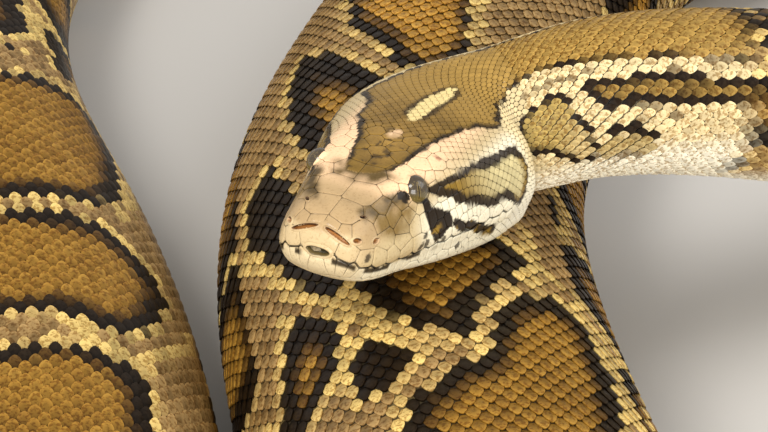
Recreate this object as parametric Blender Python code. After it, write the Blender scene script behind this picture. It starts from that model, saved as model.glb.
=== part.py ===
"""Coiled Burmese python, life size: a still model lying on the floor.

The snake is one long loft. A centre line laid out in plan carries cross-sections whose half-width
follows the girth of the animal, from the neck over the heavy middle of the body to the tail tip.
The head rests on its own coil. Thin cuts divide the loft into the named lengths.
Metres, +Z up, the floor at z = 0.
"""
import math

import bmesh
import bpy
import numpy as np

# ---------------------------------------------------------------- driving sizes
BODY_LEN = 4.40        # snout to tail tip along the centre line
HEAD_LEN = 0.130       # snout to the back of the jaws
VENT = 3.85            # where the trunk ends and the tail begins
NAPE = 0.1374          # where the neck begins, just behind the jaws
HEAD_END = 0.1364      # the head stops short of it, as the nape is bent
EYE_RADIUS = 0.0064
EYE_AT = (0.370, 0.172, 0.130)     # back, out and up from the snout, in head lengths
CUT = 0.0004           # gap left by every cut between two named lengths
SQUASH = 0.80          # height over width of the resting trunk
SIT = 0.93             # the belly is flat below this share of the half height
STATION = 0.031        # spacing of the cross-sections along the body
SIDE_POINTS = 11       # points down each side of a cross-section

# ---------------------------------------------------------------- how the head is held
SNOUT = (-0.0400, -0.0930, 0.1780)
HEAD_YAW = math.radians(27.0)
HEAD_PITCH = math.radians(6.0)
HEAD_ROLL = math.radians(-1.0)

# ---------------------------------------------------------------- plan of the coils behind the head
ROUTE = (
    (0.0206, 0.0205), (0.0345, 0.0315), (0.0507, 0.0381), (0.0850, 0.0510), (0.123, 0.0650),
    (0.175, 0.0870), (0.245, 0.120), (0.350, 0.185),
    (0.395, 0.325), (0.335, 0.455), (0.200, 0.490), (0.092, 0.400), (0.036, 0.270), (0.002, 0.130),
    (0.004, 0.000), (0.027, -0.130), (0.055, -0.260), (0.078, -0.390), (0.050, -0.510), (-0.055, -0.575),
    (-0.160, -0.525), (-0.192, -0.410), (-0.172, -0.280), (-0.160, -0.160), (-0.170, -0.050), (-0.200, 0.080),
    (-0.240, 0.220), (-0.235, 0.410), (-0.120, 0.590), (0.080, 0.690), (0.320, 0.690),
    (0.500, 0.570), (0.560, 0.400), (0.530, 0.240), (0.500, 0.150),
)

# half-width of the body at distances from the snout
GIRTH = (
    (0.14, 0.0335), (0.22, 0.0375), (0.32, 0.0415), (0.60, 0.0530), (1.00, 0.0740),
    (1.50, 0.0890), (2.00, 0.0940), (2.60, 0.0860), (3.20, 0.0680), (3.60, 0.0490),
    (3.85, 0.0340), (4.10, 0.0235), (4.30, 0.0120), (4.38, 0.0060), (4.40, 0.0020),
)

# height of the belly over the floor while the neck comes down off the coil
LIFT = (
    (0.14, 0.140), (0.22, 0.131), (0.32, 0.101), (0.42, 0.060), (0.52, 0.024),
    (0.62, 0.004), (0.72, 0.000),
)

# half sections of the head in head lengths: back from the snout, half-width, crown height,
# brow (share of width, height), cheek (share, height), height of the widest point,
# lower lip (share, height), chin edge (share, height), throat height
HEAD = (
    (0.000, 0.030, 0.050, 0.40, 0.046, 0.75, 0.030, 0.012, 0.95, 0.000, 0.60, -0.014, -0.018),
    (0.010, 0.085, 0.088, 0.45, 0.080, 0.82, 0.055, 0.012, 0.97, -0.014, 0.66, -0.036, -0.045),
    (0.035, 0.132, 0.112, 0.50, 0.102, 0.84, 0.070, 0.010, 0.97, -0.030, 0.70, -0.066, -0.080),
    (0.080, 0.165, 0.130, 0.52, 0.120, 0.82, 0.080, 0.002, 0.96, -0.045, 0.72, -0.094, -0.108),
    (0.160, 0.195, 0.147, 0.53, 0.138, 0.79, 0.092, -0.008, 0.95, -0.058, 0.74, -0.118, -0.130),
    (0.260, 0.220, 0.165, 0.56, 0.156, 0.80, 0.105, -0.012, 0.95, -0.070, 0.75, -0.134, -0.148),
    (0.370, 0.248, 0.185, 0.60, 0.174, 0.82, 0.115, -0.010, 0.96, -0.084, 0.78, -0.156, -0.163),
    (0.500, 0.286, 0.196, 0.56, 0.184, 0.84, 0.122, -0.006, 0.97, -0.094, 0.80, -0.178, -0.178),
    (0.650, 0.330, 0.203, 0.52, 0.186, 0.86, 0.122, 0.000, 0.97, -0.104, 0.80, -0.198, -0.190),
    (0.800, 0.362, 0.208, 0.50, 0.188, 0.86, 0.122, 0.000, 0.97, -0.112, 0.79, -0.210, -0.200),
    (0.920, 0.371, 0.210, 0.50, 0.190, 0.86, 0.120, -0.004, 0.96, -0.116, 0.77, -0.214, -0.207),
    (1.050, 0.342, 0.214, 0.52, 0.194, 0.86, 0.122, -0.008, 0.95, -0.114, 0.74, -0.206, -0.215),
    (1.250, 0.280, 0.222, 0.54, 0.202, 0.86, 0.130, -0.005, 0.94, -0.112, 0.68, -0.204, -0.225),
)

# height of the mouth line in head lengths, from the snout back to the corner of the mouth
MOUTH = (
    (0.000, 0.012), (0.020, 0.002), (0.055, -0.023), (0.160, -0.050), (0.280, -0.060),
    (0.475, -0.069), (0.620, -0.067), (0.780, -0.072),
)
MOUTH_CORNER = 0.780
JAW_START = 0.012

# ---------------------------------------------------------------- named lengths of the body
LENGTHS = (
    ("neck_1", NAPE, 0.320), ("neck_2", 0.320, 0.520), ("trunk_01", 0.520, 0.760),
    ("trunk_02", 0.760, 0.990), ("trunk_03", 0.990, 1.220), ("trunk_04", 1.220, 1.460),
    ("trunk_05", 1.460, 1.700), ("trunk_06", 1.700, 1.930), ("trunk_07", 1.930, 2.130),
    ("trunk_08", 2.130, 2.370), ("trunk_09", 2.370, 2.640), ("trunk_10", 2.640, 2.920),
    ("trunk_11", 2.920, 3.220), ("trunk_12", 3.220, 3.530), ("trunk_13", 3.530, VENT),
    ("tail_1", VENT, 4.120), ("tail_2", 4.120, BODY_LEN),
)


# ---------------------------------------------------------------- curves
def fair(table, at):
    """Read a table at the given places, with a curve that never overshoots its entries."""
    table = np.array(table, float)
    x, y = table[:, 0], table[:, 1:]
    at = np.clip(np.atleast_1d(np.asarray(at, float)), x[0], x[-1])
    h = np.diff(x)[:, None]
    slope = np.diff(y, axis=0) / h
    m = np.zeros_like(y)
    m[0], m[-1] = slope[0], slope[-1]
    a, b = slope[:-1], slope[1:]
    w1, w2 = 2 * h[1:] + h[:-1], h[1:] + 2 * h[:-1]
    keep = a * b > 0
    mean = (w1 + w2) / (w1 / np.where(keep, a, 1) + w2 / np.where(keep, b, 1))
    m[1:-1] = np.where(keep, mean, 0)
    i = np.clip(np.searchsorted(x, at, side="right") - 1, 0, len(x) - 2)
    step = h[i]
    t = (at - x[i])[:, None] / step
    start = y[i] * (1 + 2 * t) * (1 - t) ** 2 + m[i] * step * t * (1 - t) ** 2
    end = y[i + 1] * t * t * (3 - 2 * t) + m[i + 1] * step * t * t * (t - 1)
    return start + end


def ease(x):
    """Smooth step from 0 to 1."""
    x = np.clip(x, 0.0, 1.0)
    return x * x * (3 - 2 * x)


def spline(points, per=60):
    """Natural cubic curve through plan points."""
    p = np.array(points, float)
    n = len(p)
    chord = np.linalg.norm(np.diff(p, axis=0), axis=1) ** 0.5
    h = chord
    a = np.zeros((n, n))
    b = np.zeros_like(p)
    a[0, 0] = a[-1, -1] = 1
    for i in range(1, n - 1):
        a[i, i - 1], a[i, i], a[i, i + 1] = h[i - 1], 2 * (h[i - 1] + h[i]), h[i]
        b[i] = 6 * ((p[i + 1] - p[i]) / h[i] - (p[i] - p[i - 1]) / h[i - 1])
    m = np.linalg.solve(a, b)
    out = []
    for i in range(n - 1):
        u = np.linspace(0, 1, per, endpoint=False)[:, None] * h[i]
        v = h[i] - u
        cubic = (m[i] * v ** 3 + m[i + 1] * u ** 3) / (6 * h[i])
        out.append(cubic + (p[i] / h[i] - m[i] * h[i] / 6) * v + (p[i + 1] / h[i] - m[i + 1] * h[i] / 6) * u)
    out.append(p[-1:])
    return np.concatenate(out)


def unit(v):
    return v / np.linalg.norm(v, axis=-1, keepdims=True)


def head_frame():
    """Forward, left and up of the head."""
    flat = math.cos(HEAD_PITCH)
    forward = np.array([-math.sin(HEAD_YAW) * flat, -math.cos(HEAD_YAW) * flat, math.sin(HEAD_PITCH)])
    left = unit(np.cross([0.0, 0.0, 1.0], forward))
    up = np.cross(forward, left)
    left = left * math.cos(HEAD_ROLL) + up * math.sin(HEAD_ROLL)
    return forward, left, np.cross(forward, left)


def half_sizes(s):
    """Half-width and half-height of the body: round at the neck, spreading under its weight behind it."""
    wide = fair(GIRTH, s)[:, 0]
    return wide, wide * (1 - (1 - SQUASH) * ease((s - 0.45) / 0.35))


def centre_line(count=2201):
    """Distance, centre, left and up along the whole snake."""
    forward, _, _ = head_frame()
    snout = np.array(SNOUT)
    start = [tuple((snout - forward * HEAD_LEN * k)[:2]) for k in np.linspace(0, 0.86, 12)]
    plan = spline(start + list(ROUTE))
    run = np.concatenate([[0], np.cumsum(np.linalg.norm(np.diff(plan, axis=0), axis=1))])
    s = np.linspace(0, BODY_LEN, count)
    x = np.interp(s, run, plan[:, 0])
    y = np.interp(s, run, plan[:, 1])
    _, high = half_sizes(s)
    resting = fair(LIFT, s)[:, 0] + high * SIT
    held = snout[2] - forward[2] * s
    k = ease((s - HEAD_LEN * 0.9) / (HEAD_LEN * 0.7))
    centre = np.stack([x, y, held * (1 - k) + resting * k], 1)
    along = unit(np.gradient(centre, s, axis=0))
    left = unit(np.cross([0.0, 0.0, 1.0], -along))
    return s, centre, left, np.cross(-along, left)


LINE = centre_line()


# ---------------------------------------------------------------- cross-sections
def head_half(t, q):
    """Half section of the head, x outwards and z up; q runs from the crown (0) to the throat (1)."""
    w, top, x1, z1, x2, z2, zw, x4, z4, x5, z5, low = fair(HEAD, t).T
    px = np.stack([0 * w, x1 * w, x2 * w, w, x4 * w, x5 * w, 0 * w], 1)
    pz = np.stack([top, z1, z2, zw, z4, z5, low], 1)
    px = np.concatenate([px, -px[:, -2:0:-1]], 1)
    pz = np.concatenate([pz, pz[:, -2:0:-1]], 1)
    at = q * 6
    i = np.floor(at).astype(int)
    u = at - i

    def through(p):
        a, b, c, d = p[:, (i - 1) % 12], p[:, i % 12], p[:, (i + 1) % 12], p[:, (i + 2) % 12]
        return 0.5 * (2 * b + (c - a) * u + (2 * a - 5 * b + 4 * c - d) * u * u + (3 * b - a - 3 * c + d) * u ** 3)

    return through(px) * HEAD_LEN, through(pz) * HEAD_LEN


def body_half(s, q):
    """Half section of the body: an ellipse with a flat belly."""
    wide, high = half_sizes(s)
    x = wide[:, None] * np.sin(np.pi * q)
    z = np.maximum(high[:, None] * np.cos(np.pi * q), -SIT * high[:, None])
    return x, z


def frames(s):
    """Centre, left and up at distances s; the head keeps its own frame."""
    line_s, centre, left, up = LINE
    pick = lambda a: np.stack([np.interp(s, line_s, a[:, k]) for k in range(3)], 1)
    _, head_left, head_up = head_frame()
    k = ease((s - HEAD_LEN * 0.70) / (HEAD_LEN * 0.42))[:, None]
    return pick(centre), unit(head_left * (1 - k) + pick(left) * k), unit(head_up * (1 - k) + pick(up) * k)


def halves(s, q):
    """Half sections at distances s, the head running smoothly into the body."""
    xh, zh = head_half(s / HEAD_LEN, q)
    xb, zb = body_half(s, q)
    k = ease((s / HEAD_LEN - 0.98) / 0.32)[:, None]
    return xh * (1 - k) + xb * k, zh * (1 - k) + zb * k


def place(s, x, z):
    """Section points (x to the left, z up) at distances s as points in space."""
    centre, left, up = frames(s)
    return centre[:, None] + x[..., None] * left[:, None] + z[..., None] * up[:, None]


# ---------------------------------------------------------------- solids
def material(name, colour):
    mat = bpy.data.materials.new(name)
    mat.use_nodes = True
    mat.node_tree.nodes["Principled BSDF"].inputs["Base Color"].default_value = (*colour, 1.0)
    return mat


def collection(name, hidden=False):
    group = bpy.data.collections.new(name)
    bpy.context.scene.collection.children.link(group)
    group.hide_render = hidden
    return group


def loft(name, rings, colour, group):
    """Close a stack of equal rings into one solid."""
    bm = bmesh.new()
    rows = [[bm.verts.new(p) for p in ring] for ring in rings]
    count = len(rows[0])
    for a, b in zip(rows, rows[1:]):
        for j in range(count):
            k = (j + 1) % count
            bm.faces.new((a[j], a[k], b[k], b[j]))
    bm.faces.new(rows[0])
    bm.faces.new(rows[-1])
    bmesh.ops.recalc_face_normals(bm, faces=bm.faces)
    bmesh.ops.triangulate(bm, faces=[f for f in bm.faces if len(f.verts) == 4])
    mesh = bpy.data.meshes.new(name)
    bm.to_mesh(mesh)
    bm.free()
    obj = bpy.data.objects.new(name, mesh)
    mesh.materials.append(material(name, colour))
    group.objects.link(obj)
    return obj


def both_sides(x, z):
    """Whole ring from a half one: down the left side, back up the right."""
    return np.concatenate([x, -x[:, :0:-1]], 1), np.concatenate([z, z[:, :0:-1]], 1)


def body_length(name, start, end, colour, group):
    """One named length of neck, trunk or tail between two cuts."""
    end_gap = 0.0 if end == BODY_LEN else CUT / 2
    count = max(3, round((end - start) / STATION) + 1)
    s = np.linspace(start + CUT / 2, end - end_gap, count)
    q = np.linspace(0, math.acos(-SIT) / math.pi, SIDE_POINTS)
    x, z = both_sides(*halves(s, q))
    return loft(name, place(s, x, z), colour, group)


def cut_ring(s, upper):
    """Head rings above or below the mouth line: an outline part and the level cut that closes it."""
    t = s / HEAD_LEN
    lip = fair(MOUTH, t)[:, 0] * HEAD_LEN + (CUT / 2 if upper else -CUT / 2)
    fine = np.linspace(0, 1, 241)
    x, z = head_half(t, fine)
    share = np.linspace(0, 1, 9)
    out_x = np.zeros((len(s), 9))
    out_z = np.zeros((len(s), 9))
    for i in range(len(s)):
        q_lip = fine[np.argmax(z[i] < lip[i])]
        q = share * q_lip if upper else q_lip + (1 - q_lip) * share
        out_x[i] = np.interp(q, fine, x[i])
        out_z[i] = np.interp(q, fine, z[i])
        out_z[i, -1 if upper else 0] = lip[i]
    return out_x, out_z, lip


def floor_points(x_edge, lip):
    """Points across the level cut, from the left lip to the right."""
    share = np.linspace(1, -1, 9)[1:-1]
    return x_edge[:, None] * share, np.repeat(lip[:, None], 7, 1)


def throat_points(s):
    """The same seven points laid around the underside where the head is whole."""
    fine = np.linspace(0, 1, 241)
    x, z = head_half(s / HEAD_LEN, fine)
    corner = fair(MOUTH, s / HEAD_LEN)[:, 0] * HEAD_LEN
    out_x = np.zeros((len(s), 7))
    out_z = np.zeros((len(s), 7))
    for i in range(len(s)):
        q_lip = fine[np.argmax(z[i] < corner[i])]
        q = q_lip + (1 - q_lip) * np.linspace(0, 1, 5)[1:]
        left_x, left_z = np.interp(q, fine, x[i]), np.interp(q, fine, z[i])
        out_x[i] = np.concatenate([left_x, -left_x[-2::-1]])
        out_z[i] = np.concatenate([left_z, left_z[-2::-1]])
    return out_x, out_z


def head_solid(group):
    """Cranium, muzzle and upper lips, whole again behind the corners of the mouth."""
    corner = MOUTH_CORNER * HEAD_LEN
    front = HEAD_LEN * np.array([0, 0.004, 0.012, 0.03, 0.06, 0.1, 0.16, 0.23, 0.30, 0.37, 0.44, 0.52, 0.61, 0.70, MOUTH_CORNER])
    back = np.concatenate([[corner + CUT], HEAD_LEN * np.array([0.86, 0.94, 1.0])])
    back = np.append(back, HEAD_END)
    rings = []
    for s, whole in ((front, False), (back, True)):
        x, z, lip = cut_ring(s, True)
        under_x, under_z = throat_points(s) if whole else floor_points(x[:, -1], lip)
        ring_x = np.concatenate([x, under_x, -x[:, :0:-1]], 1)
        ring_z = np.concatenate([z, under_z, z[:, :0:-1]], 1)
        kx, kz = blend_to_body(s, ring_x, ring_z)
        rings.append(place(s, kx, kz))
    return loft("head", np.concatenate(rings), (0.42, 0.30, 0.16), group)


def blend_to_body(s, x, z):
    """Ease the last head rings towards the round neck section."""
    wide, high = half_sizes(s)
    k = ease((s / HEAD_LEN - 0.98) / 0.32)[:, None]
    angle = np.arctan2(x / np.abs(x).max(1, keepdims=True), z / np.abs(z).max(1, keepdims=True))
    body_z = np.maximum(high[:, None] * np.cos(angle), -SIT * high[:, None])
    return x * (1 - k) + wide[:, None] * np.sin(angle) * k, z * (1 - k) + body_z * k


def jaw_solid(group):
    """Lower jaw from the chin to the corners of the mouth."""
    stops = (JAW_START, 0.025, 0.05, 0.09, 0.14, 0.20, 0.27, 0.34, 0.42, 0.50, 0.58, 0.68)
    s = HEAD_LEN * np.array(stops + (MOUTH_CORNER - 0.002,))
    x, z, lip = cut_ring(s, False)
    roof_x, roof_z = floor_points(x[:, 0], lip)
    ring_x = np.concatenate([x, -x[:, -2::-1], -roof_x], 1)
    ring_z = np.concatenate([z, z[:, -2::-1], roof_z], 1)
    return loft("lower_jaw", place(s, ring_x, ring_z), (0.62, 0.55, 0.42), group)


def ball(name, centre, radius, colour, group, segments=18, rings=12):
    """A round ball lying on its side, poles facing out of the head."""
    bpy.ops.mesh.primitive_uv_sphere_add(segments=segments, ring_count=rings, radius=radius, location=centre)
    obj = bpy.context.object
    obj.name = name
    obj.data.name = name
    obj.data.materials.append(material(name, colour))
    for old in list(obj.users_collection):
        old.objects.unlink(obj)
    group.objects.link(obj)
    return obj


def add_eyes(head, group, cutters):
    """Eyeballs and the sockets that hold them."""
    forward, left, up = head_frame()
    back, out, high = (v * HEAD_LEN for v in EYE_AT)
    for name, side in (("eye_left", 1), ("eye_right", -1)):
        centre = np.array(SNOUT) - forward * back + left * (side * out) + up * high
        ball(name, centre, EYE_RADIUS, (0.20, 0.17, 0.12), group)
        cutter = ball("cut_" + name, centre, EYE_RADIUS + CUT, (0.5, 0.5, 0.5), cutters)
        cutter.display_type = "WIRE"
        cutter.hide_render = True
        socket = head.modifiers.new("socket_" + name, "BOOLEAN")
        socket.operation = "DIFFERENCE"
        socket.solver = "EXACT"
        socket.object = cutter


def stand_at_origin(group, others):
    """Move everything so that the middle of the floor plan lies on the origin."""
    corners = np.array([v.co + obj.location for obj in group.objects for v in obj.data.vertices])
    low, high = corners.min(0), corners.max(0)
    shift = ((low[0] + high[0]) / 2, (low[1] + high[1]) / 2, low[2])
    for obj in list(group.objects) + list(others.objects):
        obj.location = [place - move for place, move in zip(obj.location, shift)]


def build():
    for obj in list(bpy.context.scene.objects):
        bpy.data.objects.remove(obj)
    group = collection("coiled_python")
    cutters = collection("cutters", hidden=True)
    head = head_solid(group)
    jaw_solid(group)
    add_eyes(head, group, cutters)
    for i, (name, start, end) in enumerate(LENGTHS):
        shade = 0.85 if i % 2 else 1.0
        body_length(name, start, end, (0.40 * shade, 0.28 * shade, 0.10 * shade), group)
    stand_at_origin(group, cutters)


build()
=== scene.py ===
# %% [markdown]
# A Burmese python resting in its coils, life size. Its plain solids come with the frame; this
# lesson adds a skin, a coat of separate scales, the shields of the head, two eyes, and light. A
# snake could be sculpted, but it has tens of thousands of scales that follow a few rules. So they
# are worked out: tables of measures, a map of the surface, and functions that lay pieces on it.

# %% Load the frame and measure the solids
"""Coiled Burmese python: skin, scales and eyes over its solids."""
import math
from types import SimpleNamespace

import bpy
import numpy as np
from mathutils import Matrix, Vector
from mathutils.bvhtree import BVHTree


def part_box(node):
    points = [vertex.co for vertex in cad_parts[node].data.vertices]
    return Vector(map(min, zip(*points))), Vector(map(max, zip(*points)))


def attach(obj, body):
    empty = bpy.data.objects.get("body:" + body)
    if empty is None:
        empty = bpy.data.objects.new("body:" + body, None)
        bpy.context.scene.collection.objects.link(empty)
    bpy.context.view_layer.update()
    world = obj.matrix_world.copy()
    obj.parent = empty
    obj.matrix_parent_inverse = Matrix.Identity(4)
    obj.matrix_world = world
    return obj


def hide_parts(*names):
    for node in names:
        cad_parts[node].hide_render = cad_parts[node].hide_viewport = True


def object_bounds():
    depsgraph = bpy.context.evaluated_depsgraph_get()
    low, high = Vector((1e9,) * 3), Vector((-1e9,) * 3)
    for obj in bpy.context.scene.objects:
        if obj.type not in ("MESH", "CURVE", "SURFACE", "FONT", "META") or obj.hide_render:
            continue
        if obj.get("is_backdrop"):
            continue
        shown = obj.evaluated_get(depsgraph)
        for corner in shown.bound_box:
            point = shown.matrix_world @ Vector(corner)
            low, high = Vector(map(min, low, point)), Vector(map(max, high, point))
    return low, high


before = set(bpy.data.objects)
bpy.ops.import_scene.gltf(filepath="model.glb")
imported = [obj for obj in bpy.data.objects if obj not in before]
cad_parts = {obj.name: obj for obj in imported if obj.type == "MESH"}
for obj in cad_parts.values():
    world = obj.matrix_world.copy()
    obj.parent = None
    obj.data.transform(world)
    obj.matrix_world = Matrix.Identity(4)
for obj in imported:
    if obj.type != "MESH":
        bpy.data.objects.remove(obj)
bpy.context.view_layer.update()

# %% [markdown]
# The measures of the animal, the same as those its solids were made from. A skin wrapped round
# the solids would show their facets. Made from the same measures by the same formulas, it follows
# them closely and is as smooth as it needs to be. Lengths are in metres, counted from the snout.

# %% Lengths, and how the head lies
BODY_LEN = 4.40
HEAD_LEN = 0.130       # snout to the back of the jaws
EYE_RADIUS = 0.0064
EYE_AT = (0.370, 0.172, 0.130)     # back, out and up, in head lengths
SQUASH = 0.80          # height of the trunk against its width
SIT = 0.93             # the flat belly lies this far down the half-height
SNOUT = (-0.0400, -0.0930, 0.1780)
HEAD_YAW = math.radians(27.0)
HEAD_PITCH = math.radians(6.0)
HEAD_ROLL = math.radians(-1.0)
VENT = 3.85            # the tail begins here
COAT = 0.0013          # the skin lies this far under the tops of the scales
HEAD_COAT = 0.0006     # the shields of the head are thinner
SEAM = 0.158           # behind here the scales lie in even rows
LAST_SCALE = 4.395     # the coat and the skin end here
print("length", BODY_LEN, "head", HEAD_LEN, "tail", round(BODY_LEN - VENT, 3))

# %% Route of the centre line, half-width, and lift of the neck
ROUTE = (
    (0.0206, 0.0205), (0.0345, 0.0315), (0.0507, 0.0381), (0.0850, 0.0510), (0.123, 0.0650),
    (0.175, 0.0870), (0.245, 0.120), (0.350, 0.185), (0.395, 0.325), (0.335, 0.455),
    (0.200, 0.490), (0.092, 0.400), (0.036, 0.270), (0.002, 0.130), (0.004, 0.000),
    (0.027, -0.130), (0.055, -0.260), (0.078, -0.390), (0.050, -0.510), (-0.055, -0.575),
    (-0.160, -0.525), (-0.192, -0.410), (-0.172, -0.280), (-0.160, -0.160), (-0.170, -0.050),
    (-0.200, 0.080), (-0.240, 0.220), (-0.235, 0.410), (-0.120, 0.590), (0.080, 0.690),
    (0.320, 0.690), (0.500, 0.570), (0.560, 0.400), (0.530, 0.240), (0.500, 0.150),
)
GIRTH = (
    (0.14, 0.0335), (0.22, 0.0375), (0.32, 0.0415), (0.60, 0.0530), (1.00, 0.0740),
    (1.50, 0.0890), (2.00, 0.0940), (2.60, 0.0860), (3.20, 0.0680), (3.60, 0.0490),
    (3.85, 0.0340), (4.10, 0.0235), (4.30, 0.0120), (4.38, 0.0060), (4.40, 0.0020),
)
LIFT = (
    (0.14, 0.140), (0.22, 0.131), (0.32, 0.101), (0.42, 0.060), (0.52, 0.024),
    (0.62, 0.004), (0.72, 0.000),
)
print("route points", len(ROUTE), "greatest width", 2 * max(wide for _, wide in GIRTH))

# %% Cross-sections of the head, and the line of the mouth
# half sections of the head in head lengths: back from the snout, half-width, crown height,
# brow (share of width, height), cheek (share, height), height of the widest point,
# lower lip (share, height), chin edge (share, height), throat height
HEAD = (
    (0.000, 0.030, 0.050, 0.40, 0.046, 0.75, 0.030, 0.012, 0.95, 0.000, 0.60, -0.014, -0.018),
    (0.010, 0.085, 0.088, 0.45, 0.080, 0.82, 0.055, 0.012, 0.97, -0.014, 0.66, -0.036, -0.045),
    (0.035, 0.132, 0.112, 0.50, 0.102, 0.84, 0.070, 0.010, 0.97, -0.030, 0.70, -0.066, -0.080),
    (0.080, 0.165, 0.130, 0.52, 0.120, 0.82, 0.080, 0.002, 0.96, -0.045, 0.72, -0.094, -0.108),
    (0.160, 0.195, 0.147, 0.53, 0.138, 0.79, 0.092, -0.008, 0.95, -0.058, 0.74, -0.118, -0.130),
    (0.260, 0.220, 0.165, 0.56, 0.156, 0.80, 0.105, -0.012, 0.95, -0.070, 0.75, -0.134, -0.148),
    (0.370, 0.248, 0.185, 0.60, 0.174, 0.82, 0.115, -0.010, 0.96, -0.084, 0.78, -0.156, -0.163),
    (0.500, 0.286, 0.196, 0.56, 0.184, 0.84, 0.122, -0.006, 0.97, -0.094, 0.80, -0.178, -0.178),
    (0.650, 0.330, 0.203, 0.52, 0.186, 0.86, 0.122, 0.000, 0.97, -0.104, 0.80, -0.198, -0.190),
    (0.800, 0.362, 0.208, 0.50, 0.188, 0.86, 0.122, 0.000, 0.97, -0.112, 0.79, -0.210, -0.200),
    (0.920, 0.371, 0.210, 0.50, 0.190, 0.86, 0.120, -0.004, 0.96, -0.116, 0.77, -0.214, -0.207),
    (1.050, 0.342, 0.214, 0.52, 0.194, 0.86, 0.122, -0.008, 0.95, -0.114, 0.74, -0.206, -0.215),
    (1.250, 0.280, 0.222, 0.54, 0.202, 0.86, 0.130, -0.005, 0.94, -0.112, 0.68, -0.204, -0.225),
)
MOUTH = (
    (0.000, 0.012), (0.020, 0.002), (0.055, -0.023), (0.160, -0.050), (0.280, -0.060),
    (0.475, -0.069), (0.620, -0.067), (0.780, -0.072),
)
MOUTH_CORNER = 0.780
print("head sections", len(HEAD), "mouth points", len(MOUTH))

# %% [markdown]
# Curves and cross-sections. A curve object with a bevel has one profile, but a snake goes from a
# flat-sided head to a round neck to a trunk that sinks flat under its own weight. So the body is
# one long loft: a centre line laid out in plan carries half sections, each running from the crown
# of the back down one side to the belly.


# %% Smooth curves through tables and points
def fair(table, at):
    """Read a table at the given places, with a curve that never overshoots its entries."""
    table = np.array(table, float)
    x, y = table[:, 0], table[:, 1:]
    at = np.clip(np.atleast_1d(np.asarray(at, float)), x[0], x[-1])
    h = np.diff(x)[:, None]
    slope = np.diff(y, axis=0) / h
    m = np.zeros_like(y)
    m[0], m[-1] = slope[0], slope[-1]
    a, b = slope[:-1], slope[1:]
    w1, w2 = 2 * h[1:] + h[:-1], h[1:] + 2 * h[:-1]
    keep = a * b > 0
    mean = (w1 + w2) / (w1 / np.where(keep, a, 1) + w2 / np.where(keep, b, 1))
    m[1:-1] = np.where(keep, mean, 0)
    i = np.clip(np.searchsorted(x, at, side="right") - 1, 0, len(x) - 2)
    step = h[i]
    t = (at - x[i])[:, None] / step
    start = y[i] * (1 + 2 * t) * (1 - t) ** 2 + m[i] * step * t * (1 - t) ** 2
    end = y[i + 1] * t * t * (3 - 2 * t) + m[i + 1] * step * t * t * (t - 1)
    return start + end


def ease(x, low=0.0, high=1.0):
    """Smooth step from 0 at low to 1 at high."""
    x = np.clip((x - low) / (high - low), 0.0, 1.0)
    return x * x * (3 - 2 * x)
def unit(v):
    """Vectors brought to length one."""
    return v / np.maximum(np.linalg.norm(v, axis=-1, keepdims=True), 1e-12)


CURVE_STEPS = 60


def spline(points):
    """Natural cubic curve through plan points."""
    p = np.array(points, float)
    n = len(p)
    h = np.linalg.norm(np.diff(p, axis=0), axis=1) ** 0.5
    a = np.zeros((n, n))
    b = np.zeros_like(p)
    a[0, 0] = a[-1, -1] = 1
    for i in range(1, n - 1):
        a[i, i - 1], a[i, i], a[i, i + 1] = h[i - 1], 2 * (h[i - 1] + h[i]), h[i]
        b[i] = 6 * ((p[i + 1] - p[i]) / h[i] - (p[i] - p[i - 1]) / h[i - 1])
    m = np.linalg.solve(a, b)
    out = []
    for i in range(n - 1):
        u = np.linspace(0, 1, CURVE_STEPS, endpoint=False)[:, None] * h[i]
        v = h[i] - u
        cubic = (m[i] * v ** 3 + m[i + 1] * u ** 3) / (6 * h[i])
        near_end, far_end = p[i] / h[i] - m[i] * h[i] / 6, p[i + 1] / h[i] - m[i + 1] * h[i] / 6
        out.append(cubic + near_end * v + far_end * u)
    out.append(p[-1:])
    return np.concatenate(out)


print("half-width two metres back", fair(GIRTH, 2.0).round(4).tolist())


# %% The centre line, and which way is left and up along it
def head_frame():
    """Forward, left and up of the head."""
    flat = math.cos(HEAD_PITCH)
    turned = -math.sin(HEAD_YAW) * flat, -math.cos(HEAD_YAW) * flat
    forward = np.array([*turned, math.sin(HEAD_PITCH)])
    left = unit(np.cross([0.0, 0.0, 1.0], forward))
    up = np.cross(forward, left)
    left = left * math.cos(HEAD_ROLL) + up * math.sin(HEAD_ROLL)
    return forward, left, np.cross(forward, left)
def half_sizes(s):
    """Half-width and half-height of the body, which spreads under its weight behind the neck."""
    wide = fair(GIRTH, s)[:, 0]
    return wide, wide * (1 - (1 - SQUASH) * ease(s, 0.45, 0.80))
LINE_POINTS = 2201


def centre_line():
    """Distance, centre, left and up along the whole snake."""
    forward, _, _ = head_frame()
    snout = np.array(SNOUT)
    start = [tuple((snout - forward * HEAD_LEN * k)[:2]) for k in np.linspace(0, 0.86, 12)]
    plan = spline(start + list(ROUTE))
    run = np.concatenate([[0], np.cumsum(np.linalg.norm(np.diff(plan, axis=0), axis=1))])
    s = np.linspace(0, BODY_LEN, LINE_POINTS)
    x = np.interp(s, run, plan[:, 0])
    y = np.interp(s, run, plan[:, 1])
    _, high = half_sizes(s)
    resting = fair(LIFT, s)[:, 0] + high * SIT
    held = snout[2] - forward[2] * s
    k = ease(s, HEAD_LEN * 0.9, HEAD_LEN * 1.6)
    centre = np.stack([x, y, held * (1 - k) + resting * k], 1)
    along = unit(np.gradient(centre, s, axis=0))
    left = unit(np.cross([0.0, 0.0, 1.0], -along))
    return s, centre, left, np.cross(-along, left)
LINE = centre_line()
print("centre line", LINE_POINTS, "points, highest", LINE[1][:, 2].max().round(3))

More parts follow.
